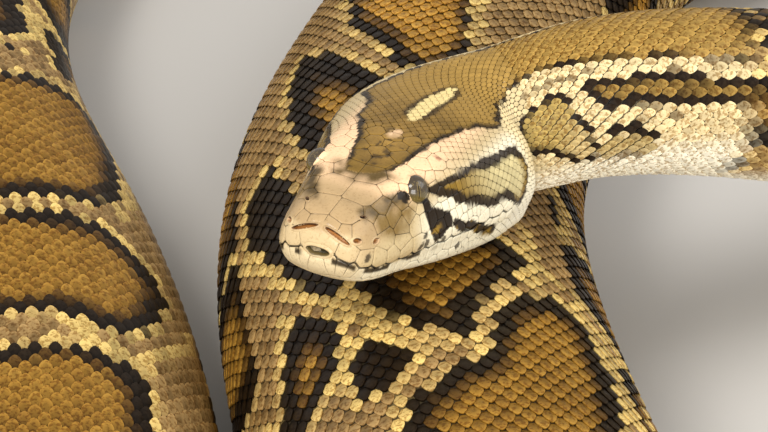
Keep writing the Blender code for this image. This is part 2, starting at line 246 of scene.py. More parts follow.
# %% Cross-sections of the head and of the body
def head_half(t, q):
    """Half section of the head, x out and z up; q runs from the crown (0) to the throat (1)."""
    w, top, x1, z1, x2, z2, zw, x4, z4, x5, z5, low = fair(HEAD, t).T
    px = np.stack([0 * w, x1 * w, x2 * w, w, x4 * w, x5 * w, 0 * w], 1)
    pz = np.stack([top, z1, z2, zw, z4, z5, low], 1)
    px = np.concatenate([px, -px[:, -2:0:-1]], 1)
    pz = np.concatenate([pz, pz[:, -2:0:-1]], 1)
    at = q * 6
    i = np.floor(at).astype(int)
    u = at - i
    def through(p):
        """Smooth curve through the corners of the section."""
        a, b, c, d = (p[:, (i + shift) % 12] for shift in (-1, 0, 1, 2))
        bend, twist = 2 * a - 5 * b + 4 * c - d, 3 * b - a - 3 * c + d
        return 0.5 * (2 * b + (c - a) * u + bend * u * u + twist * u ** 3)

    return through(px) * HEAD_LEN, through(pz) * HEAD_LEN
def body_half(s, q):
    """Half section of the body: an ellipse with a flat belly."""
    wide, high = half_sizes(s)
    x = wide[:, None] * np.sin(np.pi * q)
    z = np.maximum(high[:, None] * np.cos(np.pi * q), -SIT * high[:, None])
    return x, z


def frames(s):
    """Centre, left and up at distances s; the head keeps its own frame."""
    line_s, centre, left, up = LINE

    def pick(a):
        """A row of vectors read off the centre line."""
        return np.stack([np.interp(s, line_s, a[:, k]) for k in range(3)], 1)

    _, head_left, head_up = head_frame()
    k = ease(s, HEAD_LEN * 0.70, HEAD_LEN * 1.12)[:, None]
    left = unit(head_left * (1 - k) + pick(left) * k)
    return pick(centre), left, unit(head_up * (1 - k) + pick(up) * k)
def halves(s, q):
    """Half sections at distances s, the head running smoothly into the body."""
    xh, zh = head_half(s / HEAD_LEN, q)
    xb, zb = body_half(s, q)
    k = ease(s / HEAD_LEN, 0.98, 1.30)[:, None]
    return xh * (1 - k) + xb * k, zh * (1 - k) + zb * k
section = halves(np.array([0.1, 2.0]), np.linspace(0, 1, 9))
print("half-widths of two sections", section[0].max(1).round(4).tolist())

# %% Move the plan so that the left eye meets its solid
def eye_centre(side):
    """Centre of an eyeball, side 1 for the left one."""
    forward, left, up = head_frame()
    back, out, high = (v * HEAD_LEN for v in EYE_AT)
    return np.array(SNOUT) - forward * back + left * (side * out) + up * high


middle = [(a + b) / 2 for a, b in zip(*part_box("eye_left"))]
SHIFT = np.array(middle) - eye_centre(1)
SHIFT[2] = 0.0
print("plan shifted by", SHIFT.round(4))

# %% [markdown]
# The surface of the whole animal as a map. Scales could be scattered over a mesh, but on a snake
# they stand in strict rows. So every point of the surface gets two numbers: its distance behind
# the snout, and its share of the half girth, 0 on the crown of the back, 1 on the middle of the
# belly, and -1 there again by way of the right side.

# %% Points and normals of the map
STEPS = 96
near = 0.012 * np.linspace(0, 1, 25)[:-1] ** 2
MAP_END = 4.3985
STATIONS = np.concatenate(
    [near, np.arange(0.012, 0.2, 0.001), np.arange(0.2, MAP_END, 0.0025), [MAP_END]])


def lay_out_map():
    """Points and normals over the stations and the shares, and the half girth at each station."""
    fine = np.linspace(0, 1, 241)
    x, z = halves(STATIONS, fine)
    steps = np.hypot(np.diff(x), np.diff(z))
    run = np.concatenate([np.zeros((len(x), 1)), np.cumsum(steps, 1)], 1)
    girth = run[:, -1]
    share = np.linspace(0, 1, STEPS + 1)
    xs = np.array([np.interp(share * g, r, row) for g, r, row in zip(girth, run, x)])
    zs = np.array([np.interp(share * g, r, row) for g, r, row in zip(girth, run, z)])
    xs = np.concatenate([-xs[:, :0:-1], xs], 1)
    zs = np.concatenate([zs[:, :0:-1], zs], 1)
    centre, left, up = frames(STATIONS)
    points = centre[:, None] + left[:, None] * xs[..., None] + up[:, None] * zs[..., None] + SHIFT
    along = np.gradient(points, STATIONS, axis=0)
    ring = np.concatenate([points[:, -2:-1], points, points[:, 1:2]], 1)
    around = ring[:, 2:] - ring[:, :-2]
    normal = unit(np.cross(along, around))
    outward = points - (centre + SHIFT)[:, None]
    flip = np.sign((normal * outward).sum(-1).mean())
    return points, normal * flip, girth


POINTS, NORMALS, HALF_GIRTH = lay_out_map()
print("map", POINTS.shape, "girth in mm", (HALF_GIRTH.max() * 2000).round(1))

# %% Reading the map
def read_map(s, a, rise=0.0):
    """Place at distance s and arc a from the crown (metres, left positive), lifted by rise."""
    s, a, rise = np.broadcast_arrays(*(np.asarray(v, float) for v in (s, a, rise)))
    row = np.interp(s, STATIONS, np.arange(len(STATIONS)))
    f = a / np.interp(s, STATIONS, HALF_GIRTH)
    col = np.clip((np.clip(f, -1, 1) + 1) * STEPS, 0, 2 * STEPS - 1e-6)
    i = np.minimum(row.astype(int), len(STATIONS) - 2)
    j = col.astype(int)
    u, v = (row - i)[..., None], (col - j)[..., None]

    def mix(grid):
        """A grid read between its four nearest entries."""
        front = grid[i, j] * (1 - v) + grid[i, j + 1] * v
        return front * (1 - u) + (grid[i + 1, j] * (1 - v) + grid[i + 1, j + 1] * v) * u

    return mix(POINTS) + unit(mix(NORMALS)) * rise[..., None]
def half_girth(s):
    """Arc from the crown of the back to the middle of the belly at distance s."""
    return np.interp(s, STATIONS, HALF_GIRTH)


def girth_share(s):
    """Girth at distance s against that of the thick part of the trunk."""
    return half_girth(s) / half_girth(1.5)


print("half girth at the neck and at the vent", half_girth([0.2, VENT]).round(3).tolist())

# %% [markdown]
# Meshes and colours. A painted texture would blur at the scales' edges, and so each vertex stores
# its colour: skin and scales ask the same functions what their markings are. Meshes are built
# from whole arrays, which is many times quicker than adding points singly.


# %% Colours, and meshes that carry them
def linear(colour):
    """Ordinary 0 to 255 colour as linear light."""
    c = np.asarray(colour, float) / 255
    return np.where(c <= 0.04045, c / 12.92, ((c + 0.055) / 1.055) ** 2.4)
def paint(colour, tone, share):
    """Colours laid over by another as far as share says, from 0 to 1."""
    return colour + (tone - colour) * np.clip(share, 0, 1)[:, None]


def strip(lower, upper, count, closed=True, turned=False):
    """Quads between two rows of points that begin at the given numbers."""
    k = np.arange(count if closed else count - 1)
    after = (k + 1) % count
    quads = np.stack([lower + k, upper + k, upper + after, lower + after], 1)
    return quads[:, [0, 3, 2, 1]] if turned else quads


def build_mesh(name, points, faces, colours=None, sharp=None):
    """Mesh object from points and faces; faces is a list of index arrays, one row per face."""
    mesh = bpy.data.meshes.new(name)
    sizes = np.concatenate([np.full(len(f), f.shape[1]) for f in faces])
    corners = np.concatenate([f.ravel() for f in faces]).astype(np.int32)
    mesh.vertices.add(len(points))
    mesh.vertices.foreach_set("co", np.ascontiguousarray(points, np.float32).ravel())
    mesh.loops.add(len(corners))
    mesh.loops.foreach_set("vertex_index", corners)
    mesh.polygons.add(len(sizes))
    starts = np.concatenate([[0], np.cumsum(sizes)[:-1]]).astype(np.int32)
    mesh.polygons.foreach_set("loop_start", starts)
    mesh.polygons.foreach_set("use_smooth", np.full(len(sizes), True))
    mesh.update(calc_edges=True)
    if colours is not None:
        layer = mesh.color_attributes.new("markings_and_light", "FLOAT_COLOR", "POINT")
        rgba = np.ones((len(points), 4), np.float32)
        rgba[:, :3] = colours
        layer.data.foreach_set("color", rgba.ravel())
    if sharp is not None:
        count = len(mesh.edges)
        ends = np.empty(count * 2, np.int32)
        mesh.edges.foreach_get("vertices", ends)
        ends = ends.reshape(-1, 2)
        layer = mesh.attributes.new("sharp_edge", "BOOLEAN", "EDGE")
        layer.data.foreach_set("value", sharp[ends[:, 0]] & sharp[ends[:, 1]])
    obj = bpy.data.objects.new(name, mesh)
    bpy.context.scene.collection.objects.link(obj)
    return obj


def unwrap(obj, uv):
    """One place on the unwrap for every vertex."""
    mesh = obj.data
    corners = np.empty(len(mesh.loops), np.int32)
    mesh.loops.foreach_get("vertex_index", corners)
    layer = mesh.uv_layers.new(name="OFBake")
    layer.data.foreach_set("uv", np.ascontiguousarray(uv[corners], np.float32).ravel())
print("mid grey as linear light", linear((128, 128, 128)).round(3).tolist())

# %% [markdown]
# Shader maths. Linked node by node, a sum gets lost among its links. A small class wraps a socket,
# so that a product is written as a product, and every other node comes from one method.


# %% A wire for shader maths, and new materials
class Wire:
    """A shader socket that takes part in ordinary arithmetic."""

    def __init__(self, tree, socket=None):
        self.tree = tree
        self.socket = socket

    def feed(self, socket, value):
        """Link a wire to a socket, or set the socket to a plain value."""
        if isinstance(value, Wire):
            self.tree.links.new(value.socket, socket)
        else:
            socket.default_value = value

    def node(self, kind, settings, sockets, take=0):
        """Any node: its type, its settings, what its sockets get, and the output taken from it."""
        new = self.tree.nodes.new(kind)
        for key, value in settings.items():
            setattr(new, key, value)
        for key, value in sockets.items():
            self.feed(new.inputs[key], value)
        return Wire(self.tree, new.outputs[take])

    def __mul__(self, other):
        return self.node("ShaderNodeMath", {"operation": "MULTIPLY"}, {0: self, 1: other})

    def __rmul__(self, other):
        return self.node("ShaderNodeMath", {"operation": "MULTIPLY"}, {0: other, 1: self})

    def ramp(self, low, high, start=0.0, end=1.0):
        """Smooth passage from start to end as this goes from low to high."""
        sockets = dict(enumerate((self, low, high, start, end)))
        return self.node("ShaderNodeMapRange", {"interpolation_type": "SMOOTHSTEP"}, sockets)

    def tint(self, colour, share):
        """This colour multiplied by another, as far as share says."""
        settings = {"data_type": "RGBA", "blend_type": "MULTIPLY"}
        return self.node("ShaderNodeMix", settings, {0: share, 6: self, 7: colour}, 2)


def new_material(name, roughness, coat=0.0):
    """Material with its surface node and a wire to hang others on."""
    mat = bpy.data.materials.new(name)
    mat.use_nodes = True
    surface = mat.node_tree.nodes["Principled BSDF"]
    surface.inputs["Roughness"].default_value = roughness
    surface.inputs["Coat Weight"].default_value = coat
    return mat, surface, Wire(mat.node_tree)


# the stored colours are the markings with some painted light and shade laid in
def stored_markings_and_light(wire):
    """The colours stored at the vertices of a mesh."""
    return wire.node("ShaderNodeVertexColor", {"layer_name": "markings_and_light"}, {}, "Color")


print("wires, materials and stored markings ready")

# %% [markdown]
# The markings: large golden-brown blotches with black edges, laid like the pieces of a puzzle over
# a pale net. Noise alone has no corners and no borders of even width. So each blotch is an outline
# in centimetres, behind the snout and across from the crown of the back, and its edges follow from
# the distance to it. A scale takes one colour, from where it grows, and that steps the edges.

# %% Colours of the body
GOLD = linear((152, 112, 42))
DEEP_GOLD = linear((122, 86, 32))
BRIGHT_GOLD = linear((196, 152, 70))
BLACK_BROWN = linear((32, 22, 11))
DARK_BROWN = linear((76, 52, 22))
CREAM = linear((228, 197, 120))
NET = linear((170, 138, 88))
NECK_PALE = linear((228, 206, 156))
FLANK = linear((158, 126, 72))
BELLY = linear((244, 236, 212))
OLIVE = linear((172, 146, 82))
NECK_BROWN = linear((168, 134, 68))
print("cream of the net in linear light", CREAM.round(3).tolist())

# %% Blotches and pale lines of the coils in front
FRONT_BLOTCHES = {
    "spine_before": (
        (110.0, 5.6), (110.0, -4.6), (120.0, -5.0), (128.0, -1.8), (133.0, -2.6), (136.9, -1.6),
        (136.8, 0.2), (133.7, 2.0), (132.2, 3.9), (128.5, 5.2)),
    "saddle_link": (
        (133.8, 6.4), (134.2, 5.0), (136.6, 2.6), (138.0, 0.8), (141.0, 1.0), (144.0, 3.2),
        (143.0, 4.9), (139.8, 5.8), (136.0, 6.4)),
    "shoulder_patch": (
        (142.6, 7.0), (143.1, 6.4), (145.3, 5.8), (146.2, 5.5), (147.0, 4.8), (150.0, 3.4),
        (154.3, 3.9), (155.7, 4.5), (154.1, 5.4), (151.4, 6.45), (148.8, 7.4), (147.8, 8.2),
        (146.4, 8.4), (144.0, 8.2)),
    "saddle_small": (
        (154.9, 3.2), (150.5, 2.0), (150.5, -0.6), (151.9, -3.7), (153.3, -5.2), (155.6, -3.4),
        (157.6, -1.7), (160.6, -0.8), (160.2, 0.4), (159.0, 1.25), (157.7, 2.4)),
    "saddle_large": (
        (161.5, -0.8), (157.9, -2.5), (155.7, -5.1), (157.6, -7.1), (163.1, -7.2), (166.0, -6.4),
        (172.0, -3.0), (171.0, 1.5), (165.7, 3.6), (164.0, 2.8), (162.8, 1.2), (162.1, -0.2)),
    "island": ((158.6, 3.6), (160.2, 1.95), (161.7, 2.75), (162.6, 3.8), (162.2, 4.9),
    (159.7, 4.6)),
    "side_patch": ((154.6, 6.9), (156.6, 4.7), (159.4, 5.0), (161.2, 6.4), (162.0, 7.8),
    (160.7, 8.8)),
    "far_upper": (
        (284.6, -6.5), (284.6, 4.9), (287.0, 6.9), (290.4, 7.9), (293.5, 8.6), (296.0, 8.5),
        (297.3, 7.4), (297.4, 5.2), (296.8, 0.0), (297.4, -6.5)),
    "far_middle": (
        (274.6, -6.5), (274.6, 1.8), (273.6, 3.8), (274.5, 6.0), (278.6, 7.8), (282.6, 5.0),
        (283.2, 0.0), (282.0, -6.5)),
    "far_lower": ((259.0, -6.5), (258.0, 4.0), (262.0, 5.6), (267.0, 5.8), (271.2, 5.2),
    (272.0, 2.0), (271.6, -6.5)),
}
DARK_HEARTED = {
    "shoulder_patch": 1.1, "island": 0.8, "saddle_small": 0.2, "saddle_link": 0.3,
    "spine_before": -0.3}
PALE_LINES = (
    ((148.2, 9.2), (149.7, 7.5), (152.9, 6.35), (155.1, 4.6), (158.7, 2.1), (161.1, -0.9)),
    ((161.1, -0.9), (156.6, -2.8), (153.6, -5.6)), ((156.4, 4.4), (159.6, 4.8), (160.9, 5.8),
    (162.6, 7.3)), ((160.9, 1.2), (162.4, 2.9), (165.6, 3.8)), ((149.3, -4.9), (153.6, -5.6),
    (155.4, -8.5), (159.2, -10.3), (163.5, -9.3)), ((158.9, 2.2), (160.0, 1.4), (160.7, 0.6)),
    ((155.4, -6.9), (157.4, -8.0), (160.3, -8.0), (163.5, -7.9), (166.5, -7.8)), ((129.1, -1.7),
    (133.0, -2.6)), ((297.9, 5.0), (298.4, 7.6), (301.6, 8.8)), ((284.6, 6.2), (287.4, 8.0),
    (290.6, 8.9), (294.0, 9.6), (298.4, 9.0)), ((273.7, 1.7), (272.3, 3.8), (271.9, 5.7),
    (277.8, 9.9)),
)
print("blotches", len(FRONT_BLOTCHES), "pale lines", len(PALE_LINES))


# %% Smooth noise, and distances from outlines
TABLES = {}
NOISE_CELLS = 256


def noise(x, y, seed, size):
    """Smooth random field between -1 and 1 with features of the given size."""
    if seed not in TABLES:
        TABLES[seed] = np.random.default_rng(seed).uniform(-1, 1, (NOISE_CELLS, NOISE_CELLS))
    table = TABLES[seed]
    x, y = np.asarray(x) / size + 1000.0, np.asarray(y) / size + 1000.0
    i, j = np.floor(x).astype(int), np.floor(y).astype(int)
    u, v = ease(x - i), ease(y - j)
    corner = [
        table[(i + di) % NOISE_CELLS, (j + dj) % NOISE_CELLS] for di in (0, 1) for dj in (0, 1)]
    front = corner[0] * (1 - v) + corner[1] * v
    return front * (1 - u) + (corner[2] * (1 - v) + corner[3] * v) * u


def from_line(s, a, path):
    """Distance from an open path."""
    best = np.full(np.shape(s), 1e9)
    for (s0, a0), (s1, a1) in zip(path[:-1], path[1:]):
        ds, da = s1 - s0, a1 - a0
        t = np.clip(((s - s0) * ds + (a - a0) * da) / (ds * ds + da * da), 0, 1)
        best = np.minimum(best, np.hypot(s - s0 - t * ds, a - a0 - t * da))
    return best


def inside(s, a, outline):
    """Distance inside a closed outline, negative outside it."""
    ring = outline + outline[:1]
    best = from_line(s, a, ring)
    within = np.zeros(np.shape(s), bool)
    for (s0, a0), (s1, a1) in zip(ring[:-1], ring[1:]):
        if s0 != s1:
            within ^= ((s0 <= s) != (s1 <= s)) & (a < a0 + (s - s0) * (a1 - a0) / (s1 - s0))
    return np.where(within, best, -best)


print("a point in the island", inside(160.5, 3.6, FRONT_BLOTCHES["island"]).round(2), "cm inside")

# %% [markdown]
# The regular plan: saddles along the back every eleven centimetres or so, darker patches staggered
# along the flanks, and spots low down, all scaled with the girth, so that the pattern tightens
# towards the tail. Drawn by hand it would take hundreds of outlines; a rule with jitter will do.

# %% Rows of blotches that follow the girth
GRID_S = np.arange(0, BODY_LEN, 0.005)
GRID_GIRTH = girth_share(GRID_S)


def blotch_length(size):
    """Length of a blotch with its gap, in centimetres, for a share of the full girth."""
    return np.maximum(11.5 * size ** 0.8, 3.5)


GRID_PHASE = np.concatenate([[0], np.cumsum(0.5 / blotch_length(GRID_GIRTH))[:-1]])


def regular_blotches(s, a, middle, half_wide, share, shift, seed, size):
    """Distance inside a row of blotches, s and a in centimetres."""
    phase = np.interp(s / 100, GRID_S, GRID_PHASE) + shift
    k = np.floor(phase).astype(int)
    long = blotch_length(size)
    best = np.full(np.shape(s), -1e9)
    jitter = np.random.default_rng(seed).uniform(-1, 1, (400, 4))
    across = a - middle * size
    for step in (-1, 0, 1):
        own = jitter[(k + step) % 400]
        x = (phase - (k + step) - 0.5) * long + own[:, 0] * 0.07 * long - own[:, 3] * 0.18 * across
        y = across - own[:, 1] * 0.6 * size
        reach = long * share * (1 + 0.10 * own[:, 2])
        wide = half_wide * size * (1 + 0.10 * own[:, 3])
        shape = ((np.abs(x) / reach) ** 2.8 + (np.abs(y) / wide) ** 2.8) ** (1 / 2.8)
        best = np.maximum(best, (1 - shape) * np.minimum(reach, wide))
    return best


print("saddles along the body", int(GRID_PHASE[-1]))


# %% Where the plan holds, and where blotches are drawn one by one
NOWHERE = 9.0      # centimetres: a distance that no edge reaches


def planned_blotches(s, a, size):
    """Distance inside back saddles, flank patches and low spots, and the arc with its waves."""
    bend = 0.25 * np.sqrt(size)
    ws = s + bend * noise(s, a, 11, 1.1) + size * noise(s, a, 12, 4.2)
    wa = a + bend * noise(s, a, 13, 1.1) + size * noise(s, a, 14, 4.2)
    back = regular_blotches(ws, wa, 0.0, 6.6, 0.455, 0.30, 21, size)
    left_row = regular_blotches(ws, wa, 11.0, 3.3, 0.43, 0.80, 22, size)
    right_row = regular_blotches(ws, wa, -11.0, 3.3, 0.43, 0.85, 23, size)
    left_low = regular_blotches(ws, wa, 17.0, 2.0, 0.30, 0.25, 24, size)
    right_low = regular_blotches(ws, wa, -17.0, 2.0, 0.30, 0.35, 25, size)
    in_front = (s > 109) & (s < 173) & (a > -7.5) & (a < 9.4)
    in_far = (s > 257) & (s < 300) & (a > -7.5) & (a < 10.0)
    in_neck = s < 25.5
    drawn = in_front | in_far | in_neck
    flank = np.where(drawn, -NOWHERE, np.maximum(left_row, right_row))
    low = np.where(in_neck, -NOWHERE, np.maximum(left_low, right_low))
    return np.where(drawn, -NOWHERE, back), flank, low, wa


def drawn_blotches(s, a):
    """Distance inside the drawn blotches, how much wider their black is, and the pale lines."""
    picked = np.flatnonzero((s > 100) & (s < 180) | (s > 250) & (s < 306))
    own, wider, pale = np.full(len(s), -NOWHERE), np.zeros(len(s)), np.full(len(s), NOWHERE)
    ps = s[picked] + 0.18 * noise(s[picked], a[picked], 15, 1.0)
    pa = a[picked] + 0.18 * noise(s[picked], a[picked], 16, 1.0)
    for name, outline in FRONT_BLOTCHES.items():
        here = inside(ps, pa, outline)
        wider[picked] = np.where(here > 0, DARK_HEARTED.get(name, 0.0), wider[picked])
        own[picked] = np.maximum(own[picked], here)
    for path in PALE_LINES:
        pale[picked] = np.minimum(pale[picked], from_line(ps, pa, path))
    return own, wider, pale


print("blotches with a dark heart", len(DARK_HEARTED))

# %% [markdown]
# The neck carries other marks: a brown band along its back that widens into the arrowhead, an
# olive patch and a long dark-edged one on each side, a spot, and dark flecks in a nearly white
# ground. Its two sides are alike, so one set of outlines serves both.

# %% Outlines of the neck
NECK_DORSAL = (
    (10.0, 3.3), (12.0, 3.3), (14.9, 1.95), (16.5, 1.65), (18.0, 1.65), (19.6, 1.90), (22.0, 2.3),
    (26.0, 2.7), (40.0, 3.4), (40.0, -3.4), (26.0, -2.7), (22.0, -2.3), (19.6, -1.9),
    (18.0, -1.65), (16.5, -1.65), (14.9, -2.0), (13.6, -2.9), (12.4, -3.45), (10.0, -3.5))
NECK_PATCH = (
    (15.1, 3.55), (15.6, 3.25), (16.4, 3.05), (17.4, 2.80), (17.9, 3.30), (18.1, 4.10),
    (18.4, 4.90), (18.8, 5.65), (18.7, 6.40), (18.0, 6.75), (17.2, 6.00), (16.6, 5.45),
    (15.8, 5.20), (15.0, 4.90))
NECK_LONG = (
    (18.5, 3.15), (18.9, 2.65), (20.3, 2.85), (23.9, 3.35), (28.0, 3.8), (28.0, 5.0), (23.9, 4.6),
    (20.8, 4.25), (19.4, 4.15), (18.8, 3.60))
NECK_SPOT = (
    (19.2, 5.60), (19.6, 5.10), (20.2, 5.05), (21.1, 5.30), (21.6, 5.55), (21.9, 6.10),
    (20.9, 5.75), (20.0, 5.65))
NECK_SHADE = (
    (18.5, 5.9), (19.6, 5.6), (21.6, 5.8), (22.2, 6.9), (21.1, 7.2), (20.3, 6.8), (19.5, 7.0),
    (18.8, 6.6))
NECK_DASHES = ((15.9, 2.45), (17.6, 2.32), (18.9, 2.30))
print("points of the neck's band", len(NECK_DORSAL))


# %% Colours on the neck
def dark_edged(colour, depth, body, width, grain):
    """Colours with a patch laid in: body inside, black along its edge."""
    inner = body * (1 + 0.14 * grain)[:, None]
    inner = paint(inner, BLACK_BROWN * 1.4, ease(depth, width + 0.10, width - 0.08))
    return paint(colour, inner, ease(depth, -0.02, 0.02))


def neck_markings(s, a, grain):
    """Colours on the neck, s and a in centimetres."""
    ws = s + 0.10 * noise(s, a, 31, 0.6)
    wa = np.abs(a) + 0.10 * noise(s, a, 32, 0.6)
    base = NECK_PALE * (1 - 0.20 * np.clip(0.5 + 0.5 * grain, 0, 1))[:, None]
    base = paint(base, BELLY, ease(np.abs(a), 5.8, 7.4))
    shaded = inside(ws, wa, NECK_SHADE)
    shade = OLIVE + (DARK_BROWN - OLIVE) * ease(shaded, 0.35, 0.05)[:, None] * 0.8
    base = paint(base, shade, ease(shaded, -0.02, 0.10) * 0.75)
    dashes = ease(from_line(ws, wa, NECK_DASHES), 0.16, 0.08) * (grain > -0.1)
    base = paint(base, DARK_BROWN, 0.55 * dashes)
    speckle = ease(noise(s, a, 33, 0.45), 0.35, 0.6) * ease(s, 20.0, 22.0)
    base = paint(base, DARK_BROWN, 0.7 * (speckle * ease(np.abs(a), 6.5, 5.5)))
    faded = paint(OLIVE, NECK_PALE * 0.86, ease(s + a * 0.6, 19.4, 21.6) * 0.55)
    base = dark_edged(base, inside(ws, wa, NECK_PATCH), faded, 0.24, grain)
    base = dark_edged(base, inside(ws, wa, NECK_LONG), NECK_BROWN * 0.75, 0.40, grain)
    base = dark_edged(base, inside(ws, wa, NECK_SPOT), BLACK_BROWN, 0.30, grain)
    band = inside(ws, wa * np.sign(a), NECK_DORSAL)
    return dark_edged(base, band, NECK_BROWN, 0.16 + 0.10 * noise(s, a, 34, 1.0), grain)


print("neck", neck_markings(np.array([20.0]), np.array([0.1]), np.zeros(1)).round(3))

# %% [markdown]
# Gold, black and net. A blotch is gold in its middle, goes through brown to a black rim, and
# stands on a worn, mottled net with a cream line along every edge. A shader's colour ramp could do
# one blotch; worked out here, every scale knows how deep in a blotch it grows.


# %% Colours of blotches and net
def blotch_colours(s, a, grain, depth, border):
    """Colours inside the blotches: gold, then brown, then black towards the edge."""
    slow = noise(s, a, 18, 3.5)
    gold = paint(GOLD, BRIGHT_GOLD, 0.25 * slow + 0.22 * grain)
    gold = paint(gold, DEEP_GOLD, -0.35 * slow - 0.30 * grain + 0.1)
    # painted light: the gold of the coil just behind the head, 110 to 136 cm, is made brighter
    gold = gold * (1 + 0.55 * ease(s, 136.0, 131.0) * ease(s, 110.0, 116.0))[:, None]
    brown = paint(gold, DARK_BROWN, 0.85 * ease(depth, border + 0.75, border + 0.25))
    return paint(brown, BLACK_BROWN, ease(depth, border + 0.16, border - 0.05))


def net_colours(s, a, size, side, grain, depth, pale):
    """Colours between the blotches: net, flank, cream lines along the edges, and belly."""
    mottle = np.clip(0.5 + 0.55 * grain + 0.5 * noise(s, a, 19, 0.8), 0, 1)
    net = paint(NET, DARK_BROWN, 0.38 * mottle)
    net = paint(net, FLANK, ease(side, 8.5 * size, 12.0 * size))
    thin = np.clip(size, 0.5, 1)
    edge = ease(depth, -0.62 * thin + 0.12 * grain, -0.42 * thin)
    worn = ease(noise(s, a, 20, 4.5) + 0.6 * grain, -0.1, 0.9)
    tone = paint(CREAM * (1 - 0.34 * mottle)[:, None], NET * 1.15, 0.50 * worn)
    net = paint(net, tone, np.maximum(edge, ease(pale, 0.42, 0.30)))
    belly_edge = half_girth(s / 100) * 100 * 0.86
    under = ease(np.abs(a), belly_edge - 4.2 * size - 0.4, belly_edge - 0.9 * size)
    return paint(net, BELLY, under)


print("deep in a blotch", blotch_colours(*np.zeros((3, 1)), np.array([5.0]), 1.0).round(3))


# %% Markings of the body
def heart_and_rim(colour, grain):
    """A scale's middle, a little darker in gold scales, and its rim, a little lighter."""
    shade = colour.mean(1)
    rim = colour * (1.0 + 0.22 * ease(shade, 0.02, 0.14))[:, None]
    golden = ease(shade, 0.03, 0.09) * ease(shade, 0.42, 0.28)
    worn = 0.22 * ease(shade, 0.02, 0.10) * (0.5 + 0.5 * grain)
    heart = colour * (1.06 - worn - 0.22 * golden)[:, None]
    # black scales get a little grey in their middle: a painted sheen
    return heart + (0.003 * ease(shade, 0.03, 0.015))[:, None], rim


# besides the markings, these colours hold a painted sheen on black scales and painted light on one
# coil
def body_markings_and_light(s, a):
    """Colours for the middle and the rim of scales growing at s, a (metres)."""
    s, a = np.atleast_1d(s) * 100, np.atleast_1d(a) * 100
    size = np.interp(s / 100, GRID_S, GRID_GIRTH)
    grain = np.random.default_rng(7).uniform(-1, 1, len(s))
    back, flank, low, bent = planned_blotches(s, a, size)
    own, wider, pale = drawn_blotches(s, a)
    back = np.maximum(back, own)
    depth = np.maximum(back, np.maximum(flank, low))
    border = (0.85 + 0.25 * noise(s, a, 17, 2.2)) * np.clip(size, 0.35, 1) ** 0.6
    border = np.where((flank > back) | (low > back), border * 1.35, border) + wider
    colour = blotch_colours(s, a, grain, depth, border)
    net = net_colours(s, a, size, np.abs(bent), grain, depth, pale)
    outside = np.where((pale < 0.33) & (s > 100), 1.0, ease(depth, 0.03, -0.03))
    colour = paint(colour, net, outside)
    k = ease(s, 27.0, 25.0)[:, None]
    colour = colour * (1 - k) + neck_markings(s, a, grain) * k
    return heart_and_rim(colour, grain)


heart, rim = body_markings_and_light(np.array([1.60, 1.64]), np.array([0.0, -0.03]))
print("two scales", heart.round(3).tolist())

# %% [markdown]
# The surface of the head on its own, and the measures used on it: how far back a point is, how far
# out and how high, in lengths of the head. A modifier could wrap flat shields round the head, but
# a ray cast at it also tells which face it meets, and so which markings belong there.

# %% The head's surface as a target for rays
FORWARD, LEFT, UP = head_frame()
ORIGIN = np.array(SNOUT) + SHIFT


def head_point(t, x, z):
    """Point from head measures: back from the snout, to the left, up, all in head lengths."""
    x = x + 0.013 * ease(np.asarray(t, float), 0.34, 0.10)
    t, x, z = (np.asarray(v, float)[..., None] * HEAD_LEN for v in (t, x, z))
    return ORIGIN - FORWARD * t + LEFT * x + UP * z
HEAD_REACH = 0.195
NOSE = 0.0010      # the surface is closed by a low dome this far in front of its first ring
shell = POINTS[:int((STATIONS < HEAD_REACH).sum())]
COLS = shell.shape[1]
nose = shell[0, :-1].mean(0) + FORWARD * NOSE
cap = np.stack([shell[0] * k + nose * (1 - k) - FORWARD * NOSE * k * k for k in (0.02, 0.35, 0.7)])
grid = np.concatenate([cap, shell])
i, j = np.meshgrid(np.arange(len(grid) - 1), np.arange(COLS - 1), indexing="ij")
corner = i * COLS + j
quads = np.stack([corner, corner + 1, corner + COLS + 1, corner + COLS], -1).reshape(-1, 4)
tree = BVHTree.FromPolygons(grid.reshape(-1, 3).tolist(), quads.tolist())
grid_s = np.concatenate([[0.0, 0.0, 0.0], STATIONS[:len(shell)]])
print("head surface", len(quads), "faces")

# %% Which way is out, and what the map says there
one, two, three, four = (grid.reshape(-1, 3)[quads[:, k]] for k in range(4))
face_normals = unit(np.cross(three - one, four - two))
probe = tree.ray_cast(Vector(head_point(0.5, 0, 0.6)), Vector(-UP))
face_normals = face_normals * np.sign(face_normals[probe[2]] @ UP)
in_cap = np.arange(len(quads)) < len(cap) * (COLS - 1)
def outward_at(places, indices):
    """Outward normals at places on the head, rounded over the tip of the snout."""
    rel = places - (ORIGIN - FORWARD * 0.012 + UP * 0.004)
    tip = unit(FORWARD + unit(rel) * 0.8)
    return np.where(in_cap[indices][..., None], tip, face_normals[indices])


def nearest(point):
    """Nearest place on the head, its normal, and the face it lies on."""
    place, _, index, _ = tree.find_nearest(Vector(point))
    place = np.array(place)
    return place, outward_at(place, index), index
def surface_marks(indices, places):
    """Distance behind the snout and arc from the crown for places on given faces."""
    row, col = np.divmod(np.asarray(indices), COLS - 1)
    t = np.maximum(-((places - ORIGIN) @ FORWARD), 0)
    s = np.where(t < 0.11, t, grid_s[row])
    f = (col + 0.5) / STEPS - 1
    return s, f * half_girth(s)


def height_in_head(points):
    """Places as shares of the head's length: back from the snout, out to the left, and up."""
    rel = np.asarray(points) - ORIGIN
    return -(rel @ FORWARD) / HEAD_LEN, (rel @ LEFT) / HEAD_LEN, (rel @ UP) / HEAD_LEN


